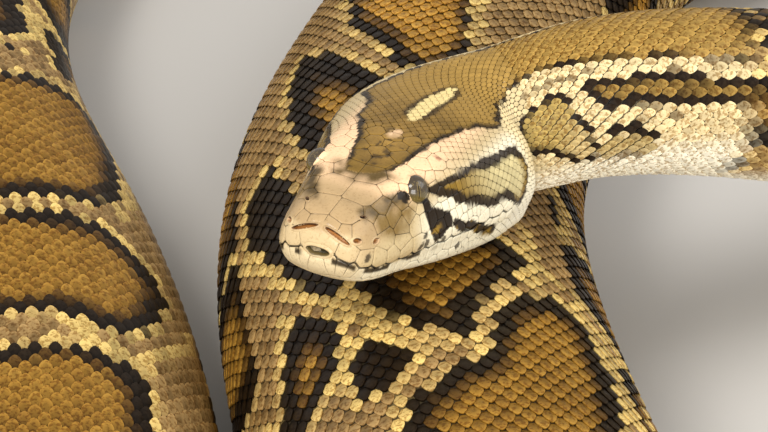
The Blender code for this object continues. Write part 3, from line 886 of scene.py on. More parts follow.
def mouth_height(t):
    """Height of the line of the mouth at t head lengths behind the snout."""
    return fair(MOUTH, np.clip(t, 0, MOUTH_CORNER))[:, 0]
def mouth_gap(points):
    """Height over the mouth line in metres, large behind the corner of the mouth."""
    t, _, z = height_in_head(points)
    over = (z - mouth_height(t)) * HEAD_LEN
    behind = np.maximum(t - MOUTH_CORNER, 0) * HEAD_LEN
    return np.where(behind > 0, np.sign(over) * np.hypot(over, behind), over)
print("ends of the mouth's line", mouth_height([0.0, MOUTH_CORNER]).round(3))

# %% [markdown]
# The hollows of the head: pits that sense heat at the tip of the snout and in the first lip
# shields, the nostrils, and the notch that the tongue comes out of. Booleans would leave ragged
# edges in thin shields. Here each one is a short line on the surface: skin and shields sink near
# it, and a small cup with a soft lip is set in.

# %% Where the hollows lie
PITS = (
    # two ends (back, out, height in head lengths), half-width and depth in millimetres, lining
    ((0.022, 0.020, 0.104), (0.032, 0.094, 0.064), 0.95, 1.9, "pit"),
    ((0.050, 0.115, 0.072), (0.060, 0.124, 0.070), 1.00, 1.8, "pit"),
    ((0.116, 0.152, 0.049), (0.128, 0.157, 0.052), 0.95, 1.7, "pit"),
    ((0.116, 0.098, 0.128), (0.126, 0.106, 0.124), 0.62, 1.4, "hole"),
)
TONGUE_NOTCH = ((0.0, -0.024, 0.024), (0.0, 0.030, 0.024), 1.60, 2.3, "mouth")
CUP_RINGS = (
    # offset in half-widths and rise in millimetres, from the outside to the bottom
    (2.30, -0.34), (1.80, 0.02), (1.40, 0.14), (1.10, 0.02), (0.92, -0.40), (0.70, -1.00),
    (0.30, -1.00))


def along_surface(a, b, count):
    """Points on the head along a short line between two of its points."""
    middle, normal, _ = nearest((a + b) / 2)
    path = []
    for share in np.linspace(0, 1, count):
        start = a + (b - a) * share + normal * 0.006
        hit = tree.ray_cast(Vector(start), Vector(-normal), 0.016)[0]
        path.append(np.array(hit) if hit else start - normal * 0.006)
    return np.array(path)


def hollows():
    """Ends, half-width, depth and lining of every pit, nostril and the notch, on both sides."""
    found = []
    for a, b, wide, deep, lining in PITS:
        for side in (1, -1):
            ends = [nearest(head_point(t, x * side, z))[0] for t, x, z in (a, b)]
            found.append((ends[0], ends[1], wide / 1000, deep / 1000, lining))
    a, b, wide, deep, lining = TONGUE_NOTCH
    ends = [nearest(head_point(*end))[0] for end in (a, b)]
    found.append((ends[0], ends[1], wide / 1000, deep / 1000, lining))
    return found


HOLLOWS = hollows()
HOLLOW_PATHS = [along_surface(a, b, 7) for a, b, _, _, _ in HOLLOWS]


def from_hollows(points):
    """Distance from the nearest hollow in its own half-widths."""
    best = np.full(len(points), 99.0)
    for path, (_, _, wide, _, _) in zip(HOLLOW_PATHS, HOLLOWS):
        for a, b in zip(path[:-1], path[1:]):
            along = b - a
            t = np.clip((points - a) @ along / (along @ along), 0, 1)
            best = np.minimum(best, np.linalg.norm(points - a - t[:, None] * along, axis=1) / wide)
    return best
print("hollows", len(HOLLOWS), "widest", max(2 * wide for _, _, wide, _, _ in HOLLOWS))

# %% [markdown]
# The markings of the head: a golden-brown arrowhead with its point towards the snout and a pale
# spear in its middle, a light stripe on each side of it, a dark-edged wedge behind each eye, a
# black patch below the eye, olive cheeks and nearly white lips. They are outlines too, but their
# edges run through the large shields instead of stepping round them.

# %% Outlines and colours of the head
ARROW = (
    (3.90, -0.60), (3.78, 0.00), (4.05, 0.70), (4.63, 1.20), (5.27, 1.39), (6.11, 1.53),
    (7.21, 1.74), (8.01, 1.82), (8.63, 1.99), (9.73, 2.25), (10.37, 2.67), (11.20, 3.35),
    (12.23, 2.84), (14.19, 1.97), (14.90, 1.80), (18.00, 1.62), (18.00, -1.62), (14.90, -2.00),
    (13.60, -2.90), (12.40, -3.45), (11.20, -3.75), (10.17, -2.90), (9.50, -2.73), (8.37, -2.39),
    (7.42, -1.88), (6.58, -1.49), (5.83, -1.17), (5.10, -1.01), (4.20, -0.78))
SPEAR = (
    (8.75, -0.10), (9.61, -0.50), (11.15, -0.27), (12.36, 0.00), (12.55, 0.25), (12.18, 0.48),
    (11.58, 0.54), (9.93, 0.42), (8.85, 0.20))
WEDGE = (
    (5.20, 2.95), (7.35, 3.39), (9.34, 3.87), (10.99, 4.25), (11.45, 5.50), (10.80, 7.20),
    (9.50, 6.15), (8.41, 5.82), (7.01, 4.78), (6.14, 4.04), (5.30, 3.30))
WEDGE_RIGHT = (
    (5.00, 2.35), (5.80, 2.40), (6.90, 3.00), (8.90, 4.10), (10.99, 4.45), (11.45, 5.50),
    (10.80, 7.20), (9.50, 6.15), (8.41, 5.82), (7.01, 4.78), (6.14, 4.04), (5.20, 3.30))
BELOW_EYE = (
    (4.66, 3.20), (5.06, 3.20), (5.10, 3.75), (5.36, 4.02), (5.99, 4.55), (6.22, 4.95),
    (6.12, 5.25), (5.74, 5.36), (5.42, 5.58), (5.00, 5.35), (4.80, 4.80), (4.74, 4.30),
    (4.66, 3.70))
BEFORE_EYE = ((3.55, 2.25), (3.75, 1.98), (4.15, 2.25), (4.20, 2.60), (3.80, 2.72))
CHEEK = (
    (2.10, 1.50), (2.60, 1.65), (3.30, 1.95), (3.90, 2.40), (4.10, 3.10), (3.50, 3.60),
    (2.60, 3.30), (2.00, 2.60))
CHEEK_LINE = ((1.75, 1.45), (2.50, 1.75), (3.10, 2.05), (3.75, 2.30))
JAW_STREAK = ((6.30, 5.30), (6.80, 5.70), (7.90, 6.60), (9.10, 7.50))
LIP_SPOTS = ((4.44, 4.60), (4.52, 5.09), (5.62, 5.70), (6.78, 6.79), (4.20, 4.95), (0.96, 2.95))
TONES = {
    "snout": linear((184, 155, 113)), "pink": linear((252, 212, 167)),
    "arrow": linear((142, 110, 50)),
    "edge": linear((38, 27, 14)), "spear": linear((240, 216, 150)), "gold": linear((136, 106, 36)),
    "pale": linear((212, 196, 144)), "cheek": linear((134, 108, 60)),
    "lip": linear((208, 186, 140)),
    # the hole tone is the nostril's inside, painted dark as shade; of the pit tones, the upper
    # wall's is painted shade and the lower wall's painted light
    "under": linear((246, 236, 206)), "pit": linear((168, 112, 54)), "hole": linear((58, 38, 26)),
    "shaded_wall": linear((70, 46, 30)), "sore": linear((150, 84, 66)),
    "lit_lower_wall": linear((206, 168, 126)), "front": linear((220, 197, 152)),
}
print("outlines of the head use", len(TONES), "tones")


# %% Ground colours of snout, lips and cheeks
def head_place(s, a, places, grain):
    """The measures that the head's markings go by, for points on it; lengths in centimetres."""
    s, a = s * 100, a * 100
    at = SimpleNamespace(s=s, a=a, side=np.abs(a), grain=grain)
    at.ws = s + 0.07 * noise(s, a, 41, 0.5) + 0.03 * grain
    at.wa = at.side + 0.07 * noise(s, a, 42, 0.5) + 0.03 * grain
    at.t, at.x, at.z = height_in_head(places)
    at.over = (at.z - mouth_height(at.t)) * HEAD_LEN * 100
    at.slow = noise(s, a, 43, 1.2)
    return at


def snout_and_lips(at):
    """Sandy snout, pinkish brow, and lips and throat that turn nearly white."""
    s, a, side = at.s, at.a, at.side
    uneven = 1 + 0.10 * at.slow + 0.05 * at.grain + 0.08 * noise(s, a, 59, 0.5)
    colour = np.tile(TONES["snout"], (len(s), 1)) * uneven[:, None]
    colour = paint(colour, TONES["pink"], ease(s, 2.4, 4.0) * ease(side, 3.8, 2.4))
    colour = paint(colour, TONES["lip"], ease(side, 2.2, 3.4) * 0.9)
    # on the right side the near-white underside begins lower, so that side stays darker and
    # pinker: partly its own colour, partly painted shade
    low = ease(side - 1.2 * (a < 0), 3.2, 4.2)
    colour = paint(colour, TONES["under"], ease(s, 3.6, 5.0) * low * ease(s, 16.0, 13.0))
    colour = paint(colour, NECK_PALE, ease(s, 10.8, 12.0) * ease(side, 6.6, 5.4))
    colour = paint(colour, TONES["under"], ease(at.over, 0.02, -0.12) * (s < 11.5))
    colour = paint(colour, BELLY, ease(side, 6.4, 7.6) * ease(s, 9.0, 11.0))
    return paint(colour, TONES["front"], ease(at.t, 0.09, 0.03) * ease(at.z, 0.100, 0.080) * 0.75)


def cheeks(colour, at):
    """An olive smear between nostril and eye, its dark line, and the spot before the eye."""
    mottled = 0.5 + 0.7 * noise(at.s, at.a, 44, 0.35)
    cheek = inside(at.ws, at.wa + 0.35 * (at.a < 0), CHEEK)
    colour = paint(colour, TONES["cheek"], ease(cheek, -0.35, 0.25) * (0.66 + 0.45 * mottled))
    line = from_line(at.ws, at.wa + 0.30 * (at.a < 0), CHEEK_LINE)
    dark = ease(line, 0.52, 0.12) * np.clip(0.20 + mottled * 1.2, 0, 1) * 0.9
    colour = paint(colour, TONES["cheek"] * 0.30, dark)
    return paint(colour, TONES["edge"], ease(inside(at.ws, at.wa, BEFORE_EYE), -0.03, 0.03))


print("points of a cheek", len(CHEEK))


# %% The arrowhead, its spear, and the marks on it
def arrowhead(colour, at):
    """The arrowhead with its ragged black edge and flecks, and a smudge before its point."""
    s, a, ws, grain = at.s, at.a, at.ws, at.grain
    depth = inside(ws, a + 0.07 * noise(s, a, 42, 0.5), ARROW)
    uneven = 0.92 + 0.08 * grain + 0.28 * at.slow + 0.22 * noise(s, a, 57, 0.3)
    body = paint(TONES["arrow"] * uneven[:, None], NECK_BROWN, ease(s, 9.0, 12.0) * 0.8)
    body = paint(body, TONES["gold"] * 0.8, ease(depth, 0.9, 0.2) * 0.35)
    ragged = 0.20 + 0.15 * noise(s, a, 45, 0.45) + 0.04 * grain
    rim = ease(depth, ragged + 0.12, ragged - 0.08) * ease(ws, 3.9, 4.7) * 0.96
    body = paint(body, TONES["edge"], rim)
    flecks = ease(noise(s, a, 52, 0.28) + 0.2 * grain, 0.50, 0.75) * ease(ws, 9.5, 6.5)
    body = paint(body, TONES["edge"] * 1.4, flecks * 0.75)
    soft = np.where(ws < 4.6, 0.10, 0.03)
    colour = paint(colour, body, ease(depth, -soft, soft))
    smudge = ease(depth, -0.95, -0.15) * ease(ws, 4.8, 4.1) * (0.85 + 0.5 * noise(s, a, 46, 0.4))
    return paint(colour, TONES["cheek"] * 0.50, smudge * (depth < 0.05))


def crown_marks(colour, at):
    """A pale scar in the arrowhead, a reddish mark beside it, and the pale spear."""
    s, a = at.s, at.a
    scar = np.hypot((s - 7.40) * 0.7, a + 0.05)
    pale = ease(scar, 0.42, 0.12) * (0.75 + 0.5 * noise(s, a, 53, 0.25))
    colour = paint(colour, TONES["pink"] * 0.95, pale)
    rim = ease(np.abs(scar - 0.42), 0.10, 0.03) * ease(noise(s, a, 54, 0.3), 0.0, 0.5) * 0.8
    colour = paint(colour, TONES["edge"], rim)
    mark = np.hypot(at.ws - 6.9, a - 2.35)
    sore = ease(mark, 0.26, 0.10) * ease(noise(s, a, 55, 0.2), -0.3, 0.3) * 0.8
    colour = paint(colour, TONES["sore"], sore)
    spear = inside(s + 0.05 * noise(s, a, 47, 0.4), a + 0.04 * noise(s, a, 48, 0.4), SPEAR)
    shadow = ease(spear, -0.32, -0.12) * ease(s, 8.6, 9.6) * 0.85
    colour = paint(colour, TONES["edge"] * 1.4, shadow)
    return paint(colour, TONES["spear"] * (1 + 0.05 * at.grain)[:, None], ease(spear, -0.03, 0.03))


print("arrowhead points", len(ARROW), "spear points", len(SPEAR))


# %% The wedge behind the eye, the patch below it, and the lips
def wedge_behind_eye(colour, at):
    """A gold wedge with a black edge, which opens towards the neck."""
    s, a, ws, wa = at.s, at.a, at.ws, at.wa
    wedge = np.where(a > 0, inside(ws, wa, WEDGE), inside(ws, wa, WEDGE_RIGHT))
    gold = np.tile(TONES["gold"], (len(s), 1))
    filled = paint(gold, TONES["pale"], ease(s, 6.6, 9.6) * ease(wedge, 0.15, 0.55))
    filled = filled * (1 + 0.10 * at.grain + 0.10 * at.slow)[:, None]
    keel = np.interp(s, (5.3, 7.01, 8.41, 10.8), (3.1, 4.1, 4.85, 5.7))
    low_side = ease(wa - keel, -0.2, 0.2)
    band = 0.27 + 0.20 * ease(s, 6.8, 9.8) * (1 - low_side) + 0.09 * low_side
    open_end = ease(s, 9.9, 10.5) * ease(wa, 4.6, 5.1) * ease(wa, 7.0, 6.5)
    band = (band + 0.05 * noise(s, a, 58, 0.4)) * (1 - 0.9 * open_end) + 0.05
    filled = paint(filled, TONES["edge"], ease(wedge, band + 0.08, band - 0.06) * 0.96)
    return paint(colour, filled, ease(wedge, -0.03, 0.03))


def below_eye(colour, at):
    """The black patch below the eye with a gilt fleck in it, and the streak along the jaw."""
    s, a, ws, wa = at.s, at.a, at.ws, at.wa
    below = inside(ws, wa, BELOW_EYE)
    colour = paint(colour, TONES["edge"], ease(below, -0.03, 0.03))
    gilt = ease(np.hypot(ws - 5.05, wa - 4.85), 0.45, 0.15) * ease(noise(s, a, 56, 0.2), -0.1, 0.3)
    colour = paint(colour, TONES["gold"] * 1.5, gilt * (below > 0) * 0.8)
    streak = from_line(ws, wa, JAW_STREAK) - 0.20 - 0.12 * noise(s, a, 49, 0.6)
    black = np.tile(TONES["edge"], (len(s), 1))
    tone = paint(black, TONES["gold"] * 1.4, ease(noise(s, a, 50, 0.35), 0.1, 0.5) * 0.7)
    return paint(colour, tone, ease(streak, 0.04, -0.04))


def lip_marks(colour, at):
    """Small dark spots on the lips, and the broken dark line along the front of the mouth."""
    for spot_s, spot_a in LIP_SPOTS:
        gap = np.hypot(at.ws - spot_s, at.wa - spot_a)
        colour = paint(colour, TONES["edge"], ease(gap, 0.20, 0.12) * 0.85)
    line = ease(np.abs(at.over + 0.13), 0.20, 0.08) * ease(np.abs(at.x), 0.035, 0.055)
    line = line * ease(at.t, 0.46, 0.30)
    broken = ease(noise(at.x * 13, at.t * 13, 51, 0.35), -0.02, 0.22)
    return paint(colour, TONES["edge"], line * broken * 0.95)


print("spots on each side's lips", len(LIP_SPOTS))


# %% All the markings of the head
def shield_colours(s, a, places, grain):
    """Colours of points on the head; grain is the same all over a shield."""
    at = head_place(s, a, places, grain)
    colour = snout_and_lips(at)
    for lay in (cheeks, arrowhead, crown_marks, wedge_behind_eye, below_eye, lip_marks):
        colour = lay(colour, at)
    return paint(colour, neck_markings(at.s, at.a, grain), ease(at.s, 13.0, 14.5))


crown = head_point([0.8], [0.0], [0.2])
print("crown", shield_colours(np.array([0.104]), np.zeros(1), crown, np.zeros(1)).round(3))

# %% [markdown]
# The skin: one closed mesh from the snout to the tip of the tail, a coat's depth under the tops of
# the scales. On the animal it is what shows as dark lines between them. The mouth is a shallow
# groove in it, back to the corner of the jaws. One even mesh would be heavy or blunt: the groove
# and the pits need close rings, and the trunk doesn't, so the rings are fine on the head only.

# %% One ring of the skin
MOUTH_DEPTH = 0.0016
MOUTH_HALF = 0.0011        # half-width of the groove
HOLLOW_DEPTH = 0.0024


def skin_ring(s, count):
    """One ring of the skin at distance s, and the arcs of its points."""
    a = np.linspace(-1, 1, count, endpoint=False) * half_girth(s)
    top = read_map(np.full(count, s), a)
    deep = np.full(count, HEAD_COAT + (COAT - HEAD_COAT) * float(ease(s, 0.10, SEAM)))
    deep = deep * min(1.0, 1.59 * float(girth_share(s)) ** 0.45 + 0.25)
    if s < HEAD_LEN:
        gap = np.abs(mouth_gap(top))
        deep = deep + MOUTH_DEPTH * np.exp(-(gap / MOUTH_HALF) ** 2)
        deep = deep + HOLLOW_DEPTH * ease(from_hollows(top), 2.4, 1.5)
    return read_map(np.full(count, s), a, -deep), a


def joint(base, wide, narrow):
    """Six-cornered faces between a ring of many points and the next one, with a third as many."""
    k = np.arange(narrow)
    after = (k + 1) % narrow
    step = wide // narrow
    wide_side = [base - wide + (step * k + step - i) % wide for i in range(step, -1, -1)]
    return np.stack(wide_side[:1] + [base + k, base + after] + wide_side[:0:-1], 1)


print("skin depth on the trunk and the head", COAT, HEAD_COAT)

# %% Rings from the snout to the tail
FINE, COARSE = 192, 64
nose_rows = 0.010 * np.linspace(0.12, 1, 16)[:-1] ** 2
head_rows = np.concatenate([nose_rows, np.arange(0.010, 0.1605, 0.0009)])
skin_rows = [(s, FINE) for s in head_rows] + [(s, COARSE) for s in np.arange(0.166, 4.39, 0.0085)]
points, marks_s, marks_a, skin_quads, skin_joints = [], [], [], [], []
base = before = 0
for s, count in skin_rows:
    ring, arcs = skin_ring(s, count)
    points.append(ring)
    marks_s.append(np.full(count, s))
    marks_a.append(arcs)
    if before == count:
        skin_quads.append(strip(base - count, base, count))
    elif before:
        skin_joints.append(joint(base, before, count))
    base, before = base + count, count
print("skin rings", len(skin_rows))

# %% Close the skin at the snout and at the tip of the tail
first, last_but_one, last = points[0], points[-2].mean(0), points[-1].mean(0)
middle_in = first.mean(0)
tip_out = FORWARD * 0.0006
points.append((first - middle_in) * 0.55 + middle_in + tip_out * 0.7)
points.append((middle_in + tip_out)[None])
points.append(last[None] + (last - last_but_one)[None] * 0.2)
marks_s += [np.zeros(FINE + 1), np.array([LAST_SCALE])]
marks_a += [np.concatenate([marks_a[0], [0.0]]), np.array([0.0])]
skin_quads.append(strip(base, 0, FINE))
k = np.arange(FINE)
fan_front = np.stack([np.full(FINE, base + FINE), base + k, base + (k + 1) % FINE], 1)
k = np.arange(COARSE)
tail_ring = base - COARSE
fan_back = np.stack(
    [tail_ring + k, np.full(COARSE, base + FINE + 1), tail_ring + (k + 1) % COARSE], 1)
skin_points, skin_s, skin_a = (np.concatenate(v) for v in (points, marks_s, marks_a))
print("skin", len(skin_points), "points")

# %% Colour the skin and put it in place of the solids
DEEP_SHADE = 0.30          # the skin between scales is this dark against their tops
skin_tone, _ = body_markings_and_light(skin_s, skin_a)
front = skin_s < 0.155
skin_tone[front] = shield_colours(
    skin_s[front], skin_a[front], skin_points[front], np.zeros(front.sum()))
skin_tone = skin_tone * (DEEP_SHADE + 0.14 * ease(skin_s, 0.12, 0.08))[:, None] + 0.004
skin = build_mesh("skin", skin_points, skin_quads + skin_joints + [fan_front, fan_back], skin_tone)
skin_material, surface, wire = new_material("seam_skin", 0.6)
wire.feed(surface.inputs["Base Color"], stored_markings_and_light(wire))
skin.data.materials.append(skin_material)
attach(skin, "root")
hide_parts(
    "head", "lower_jaw", "neck_1", "neck_2",
    *["trunk_%02d" % k for k in range(1, 14)], "tail_1", "tail_2")
print("skin faces", len(skin.data.polygons))

# %% [markdown]
# The scales of the body. On a python they are small smooth shields in slanting rows: each row is
# shifted half a scale against the next, the front of a scale lies under the tips of the row before
# it and its own tip lies free. A bump pattern has no stepped outline and no shadow under each tip,
# so every scale is a small raised shield with a thickness, set by its row and column on the map.

# %% How close the scales stand
SCALE_SPACING = 0.0090     # along a row, on the thick part of the trunk
SCALE_ROWS = 0.0049        # from row to row there
BELLY_SHARE = 0.150        # the belly plates take this share of the half girth
FIRST_SCUTE = 0.170


def scale_spacing(s):
    """Distance between neighbours in a row at distance s."""
    crown = 0.0044 + 0.0032 * ease(s, 0.085, 0.035)
    return crown + (SCALE_SPACING * girth_share(s) ** 0.27 - crown) * ease(s, 0.150, 0.235)


def row_spacing(s):
    """Distance from one row to the next at distance s."""
    crown = 0.0021 + 0.0030 * ease(s, 0.085, 0.035)
    return crown + (SCALE_ROWS * girth_share(s) ** 0.50 - crown) * ease(s, 0.150, 0.235)


row_s = [0.010]
while row_s[-1] < LAST_SCALE - 0.010:
    row_s.append(row_s[-1] + float(row_spacing(row_s[-1])))
print("rows", len(row_s))


# %% A place for every scale
def lattice():
    """Place, spacing and row spacing of every scale of the back and the flanks."""
    found = []
    for row, s in enumerate(np.array(row_s)):
        wide = scale_spacing(s)
        belly = BELLY_SHARE * ease(s, FIRST_SCUTE - 0.06, FIRST_SCUTE + 0.02)
        limit = half_girth(s) * (1 - belly) - 0.20 * wide
        count = int(limit / wide) + 1
        a = (np.arange(-count, count + 1) + 0.5 * (row % 2)) * wide
        a = a[np.abs(a) <= limit]
        n = len(a)
        own = [np.full(n, s), a, np.full(n, wide), np.full(n, row_spacing(s))]
        found.append(np.stack(own, 1))
    return np.concatenate(found)


LATTICE = lattice()
print("scales on the body", int((LATTICE[:, 0] >= SEAM).sum()))

# %% [markdown]
# What a scale is made of: horn with a soft shine. Its colour is stored; fine specks break it up,
# and the shine is a little uneven. Noise in the shader does both, as its grain is finer than the
# vertices. The shields of the head are the same horn, only smoother.


# %% Horn
def horn(name, roughness, coat, shine, fineness, harshness, specks, stain, uneven):
    """Horn; specks says where they begin, where they are full, and how dark they are."""
    mat, surface, wire = new_material(name, roughness, coat)
    place = wire.node("ShaderNodeTexCoord", {}, {}, "Object")
    grit = wire.node("ShaderNodeTexNoise", {}, {
        "Vector": place, "Scale": fineness, "Detail": 3.0, "Roughness": harshness}, "Fac")
    cloud = wire.node("ShaderNodeTexNoise", {}, {
        "Vector": place, "Scale": 160.0, "Detail": 2.0}, "Fac")
    low, high, dark = specks
    speckled = stored_markings_and_light(wire).tint(stain, grit.ramp(low, high) * dark)
    wire.feed(surface.inputs["Base Color"], speckled)
    wire.feed(surface.inputs["Roughness"], cloud.ramp(0.3, 0.7, *uneven))
    surface.inputs["Specular IOR Level"].default_value = shine
    print(name, len(mat.node_tree.nodes), "nodes")
    return mat


scale_material = horn(
    "scale_horn", 0.42, 0.03, shine=0.11, fineness=560.0, harshness=0.65,
    specks=(0.48, 0.60, 0.78), stain=(0.44, 0.32, 0.18, 1.0), uneven=(0.34, 0.50))
shield_material = horn(
    "shield_horn", 0.34, 0.09, shine=0.22, fineness=900.0, harshness=0.6,
    specks=(0.52, 0.70, 0.45), stain=(0.55, 0.46, 0.36, 1.0), uneven=(0.24, 0.42))

# %% Outline of a scale
SCALE_TIP = 1.08           # how far the tip reaches back, in rows
HALF_OUTLINE = {
    "fine": ((0.960, 0.110), (0.690, 0.220), (0.330, 0.315), (-0.030, 0.350), (-0.440, 0.288),
    (-0.840, 0.120)),
    "plain": ((0.850, 0.165), (0.300, 0.325), (-0.300, 0.320), (-0.840, 0.130)),
}
def outline_of(kind):
    """Outline of a scale from its tip round: along in rows, across in spacings."""
    half = HALF_OUTLINE[kind]
    return np.array(((SCALE_TIP, 0.0),) + half + tuple((u, -v) for u, v in half[::-1]))


print("corners of a fine and a plain scale", len(outline_of("fine")), len(outline_of("plain")))


# %% Points and faces of many scales at once
def scale_points(part, shape, rng):
    """Hub, edge and foot of every scale; the root lies low, and the foot stands under the edge."""
    s, a, wide, long = part[:, :1], part[:, 1:2], part[:, 2:3], part[:, 3:4]
    swell = 1 + rng.uniform(-0.04, 0.04, (len(part), 1))
    lean = rng.uniform(-0.02, 0.02, (len(part), 1))
    u = shape[None, :, 0] * long * swell
    v = (shape[None, :, 1] * swell + lean) * wide
    thin = np.clip(girth_share(s) ** 0.45, 0.4, 1)
    slope = ease(shape[None, :, 0], -1.10, 0.95)
    top = -COAT * thin * (0.74 * (1 - slope) + 0.10)
    edge = read_map(s + u, a + v, top)
    foot = read_map(s + u * 0.985, a + v * 0.97, top - COAT * thin * 0.62)
    hub = read_map(s + 0.16 * long, a, -COAT * thin * 0.02)
    return np.concatenate([hub, edge, foot], 1).reshape(-1, 3)


def scale_faces(count, corners):
    """Triangles from each hub to the edge, and quads from the edge down to the foot."""
    start = (np.arange(count) * (2 * corners + 1))[:, None, None]
    k = np.arange(corners)
    tops = np.stack([np.zeros(corners, int), 1 + (k + 1) % corners, 1 + k], 1)
    sides = strip(1, 1 + corners, corners, turned=True)
    return [(start + tops).reshape(-1, 3), (start + sides).reshape(-1, 4)]


print("faces of one plain scale", sum(len(f) for f in scale_faces(1, len(outline_of("plain")))))


# %% Colours and unwrap of the scales
def scale_colours(part, shape):
    """Stored colours: the heart, a rim that darkens towards the root, and a foot in painted shade.
    """
    heart, rim = body_markings_and_light(part[:, 0], part[:, 1])
    bright = ease(rim.mean(1), 0.30, 0.12)[:, None, None]
    fade = 0.36 + 0.86 * ease(shape[:, 0], -1.0, 1.0)[None, :, None]
    ring = rim[:, None] * (1 - (1 - fade) * (0.35 + 0.65 * bright))
    # the foot goes down into the gap between scales and is painted dark there as shade
    return np.concatenate([heart[:, None], ring, ring * 0.25], 1).reshape(-1, 3)


def scale_unwrap(part, shape, low, high):
    """One small patch for each scale, laid out by distance and arc."""
    root_u = (part[:, 0] - low + 0.01) / (high - low + 0.02)
    root_v = 0.5 + 0.49 * part[:, 1] / half_girth(part[:, 0])
    patch = np.concatenate([[[0, 0]], shape, shape], 0) * np.array([0.0013, 0.0045])
    return (np.stack([root_u, root_v], 1)[:, None] + patch[None]).reshape(-1, 2)


def body_scales(name, low, high, kind):
    """One piece of the coat: all scales growing between two distances."""
    part = LATTICE[(LATTICE[:, 0] >= low) & (LATTICE[:, 0] < high)]
    shape = outline_of(kind)
    m = len(shape)
    points = scale_points(part, shape, np.random.default_rng(int(low * 1000)))
    sharp = np.tile(np.concatenate([[False], np.ones(m, bool), np.zeros(m, bool)]), len(part))
    faces = scale_faces(len(part), m)
    obj = build_mesh(name, points, faces, scale_colours(part, shape), sharp)
    unwrap(obj, scale_unwrap(part, shape, low, high))
    obj.data.materials.append(scale_material)
    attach(obj, "root")
    print(name, len(part), "scales,", len(part) * 3 * m, "triangles")


# %% [markdown]
# The coat comes in nine pieces, so that none grows heavy. In front a scale has thirteen corners;
# farther off, nine look the same and cost a third less.

# %% The coat of the body
PIECES = (
    (SEAM, 0.45, "neck_skin", "fine"), (0.45, 0.95, "neck_skin", "plain"),
    (0.95, 1.40, "trunk_skin", "fine"), (1.40, 1.80, "trunk_skin", "fine"),
    (1.80, 2.20, "trunk_skin", "plain"), (2.20, 2.60, "trunk_skin", "plain"),
    (2.60, 3.12, "trunk_skin", "fine"), (3.12, 3.65, "trunk_skin", "plain"),
    (3.65, LAST_SCALE, "tail_skin", "plain"))
for number, (low, high, slots, kind) in enumerate(PIECES, 1):
    body_scales("body_scales_%d" % number, low, high, kind)

# %% [markdown]
# The head. A python's head is not covered in even scales: large shields lie on the snout, a row of
# upright shields edges each lip, a ring of small ones holds the eye, and behind the brow they
# shrink step by step into the scales of the neck. Outlining each by hand would leave gaps. But a
# shield grows from one point and meets its neighbours half-way, so the coat of the head is a set
# of cells round chosen points: the large ones listed one by one, the rest in rows.
#
# Each entry gives a place in head lengths (back from the snout, out from the middle, height) and
# the size of the shield in millimetres; all but the middle ones are repeated on the right.

# %% Growing points of the large shields
MIDDLE_SHIELDS = (
    (0.000, 0.000, 0.062, 8.0),      # at the tip of the snout, over the notch of the mouth
    (0.004, 0.000, -0.024, 4.3),     # under the notch
    (0.440, 0.000, 0.192, 3.9), (0.550, 0.000, 0.196, 3.4),
)
PAIRED_SHIELDS = (
    (0.040, 0.030, 0.116, 2.8), (0.045, 0.085, 0.106, 3.0), (0.108, 0.050, 0.137, 6.6),
    (0.085, 0.138, 0.095, 6.2), (0.150, 0.122, 0.128, 3.0), (0.165, 0.165, 0.100, 3.6),
    (0.215, 0.062, 0.158, 6.9), (0.205, 0.130, 0.140, 3.8), (0.225, 0.185, 0.105, 3.8),
    (0.165, 0.190, 0.055, 3.6), (0.315, 0.050, 0.176, 5.6), (0.285, 0.118, 0.158, 4.0),
    (0.365, 0.118, 0.180, 5.6), (0.395, 0.042, 0.188, 4.6), (0.290, 0.175, 0.130, 3.4),
    (0.245, 0.210, 0.065, 3.6), (0.290, 0.215, 0.085, 3.2), (0.450, 0.080, 0.190, 4.0),
    (0.455, 0.145, 0.180, 3.8), (0.500, 0.038, 0.194, 3.5), (0.515, 0.115, 0.190, 3.4),
    (0.515, 0.185, 0.170, 3.2), (0.565, 0.068, 0.196, 3.1), (0.575, 0.135, 0.188, 3.0),
)
SEEDS = []


def plant(point, size, kind):
    """A growing point: its place on the head, its normal, the shield's size and its kind."""
    place, normal, _ = nearest(point)
    SEEDS.append((place, normal, size, kind))


for t, x, z, size in MIDDLE_SHIELDS:
    plant(head_point(t, x, z), size, "large")
for t, x, z, size in PAIRED_SHIELDS:
    for side in (1, -1):
        plant(head_point(t, x * side, z), size, "large")
print("large shields", len(SEEDS))

# %% Shields along the lips
LIPS = (
    # kind, number on a side, above or below the mouth, start, first size, fall
    ("upper_lip", 13, 1, 0.0142, 3.8, 1.0),
    ("lower_lip", 23, -1, 0.0064, 3.2, 0.8),
)
def lip_path(side):
    """Points along the mouth from the middle of the snout to its corner on one side."""
    path = []
    for angle in np.linspace(0, math.pi / 2, 60):
        towards = FORWARD * math.cos(angle) + LEFT * (side * math.sin(angle))
        level = 0.012
        for _ in range(3):
            start = head_point(0.12, 0.0, level) + towards * 0.1
            hit = np.array(tree.ray_cast(Vector(start), Vector(-towards))[0])
            level = float(mouth_height(height_in_head(hit)[0])[0])
        path.append(hit)
    for t in np.linspace(0.13, MOUTH_CORNER + 0.01, 300):
        start = head_point(t, side * 0.6, float(mouth_height(t)[0]))
        path.append(np.array(tree.ray_cast(Vector(start), Vector(-LEFT * side))[0]))
    return np.array(path)
for kind, count, sense, start, size_first, fall in LIPS:
    for side in (1, -1):
        path = lip_path(side)
        run = np.concatenate([[0], np.cumsum(np.linalg.norm(np.diff(path, axis=0), axis=1))])
        for k in range(count):
            at = start + (run[-1] - start - 0.001) * k / (count - 0.6)
            size = size_first - fall * k / count
            on_line = np.array([np.interp(at, run, path[:, c]) for c in range(3)])
            _, normal, _ = nearest(on_line)
            climb = unit(UP - normal * (UP @ normal))
            plant(on_line + climb * sense * size / 1000, size, kind)
print("large and lip shields", len(SEEDS))

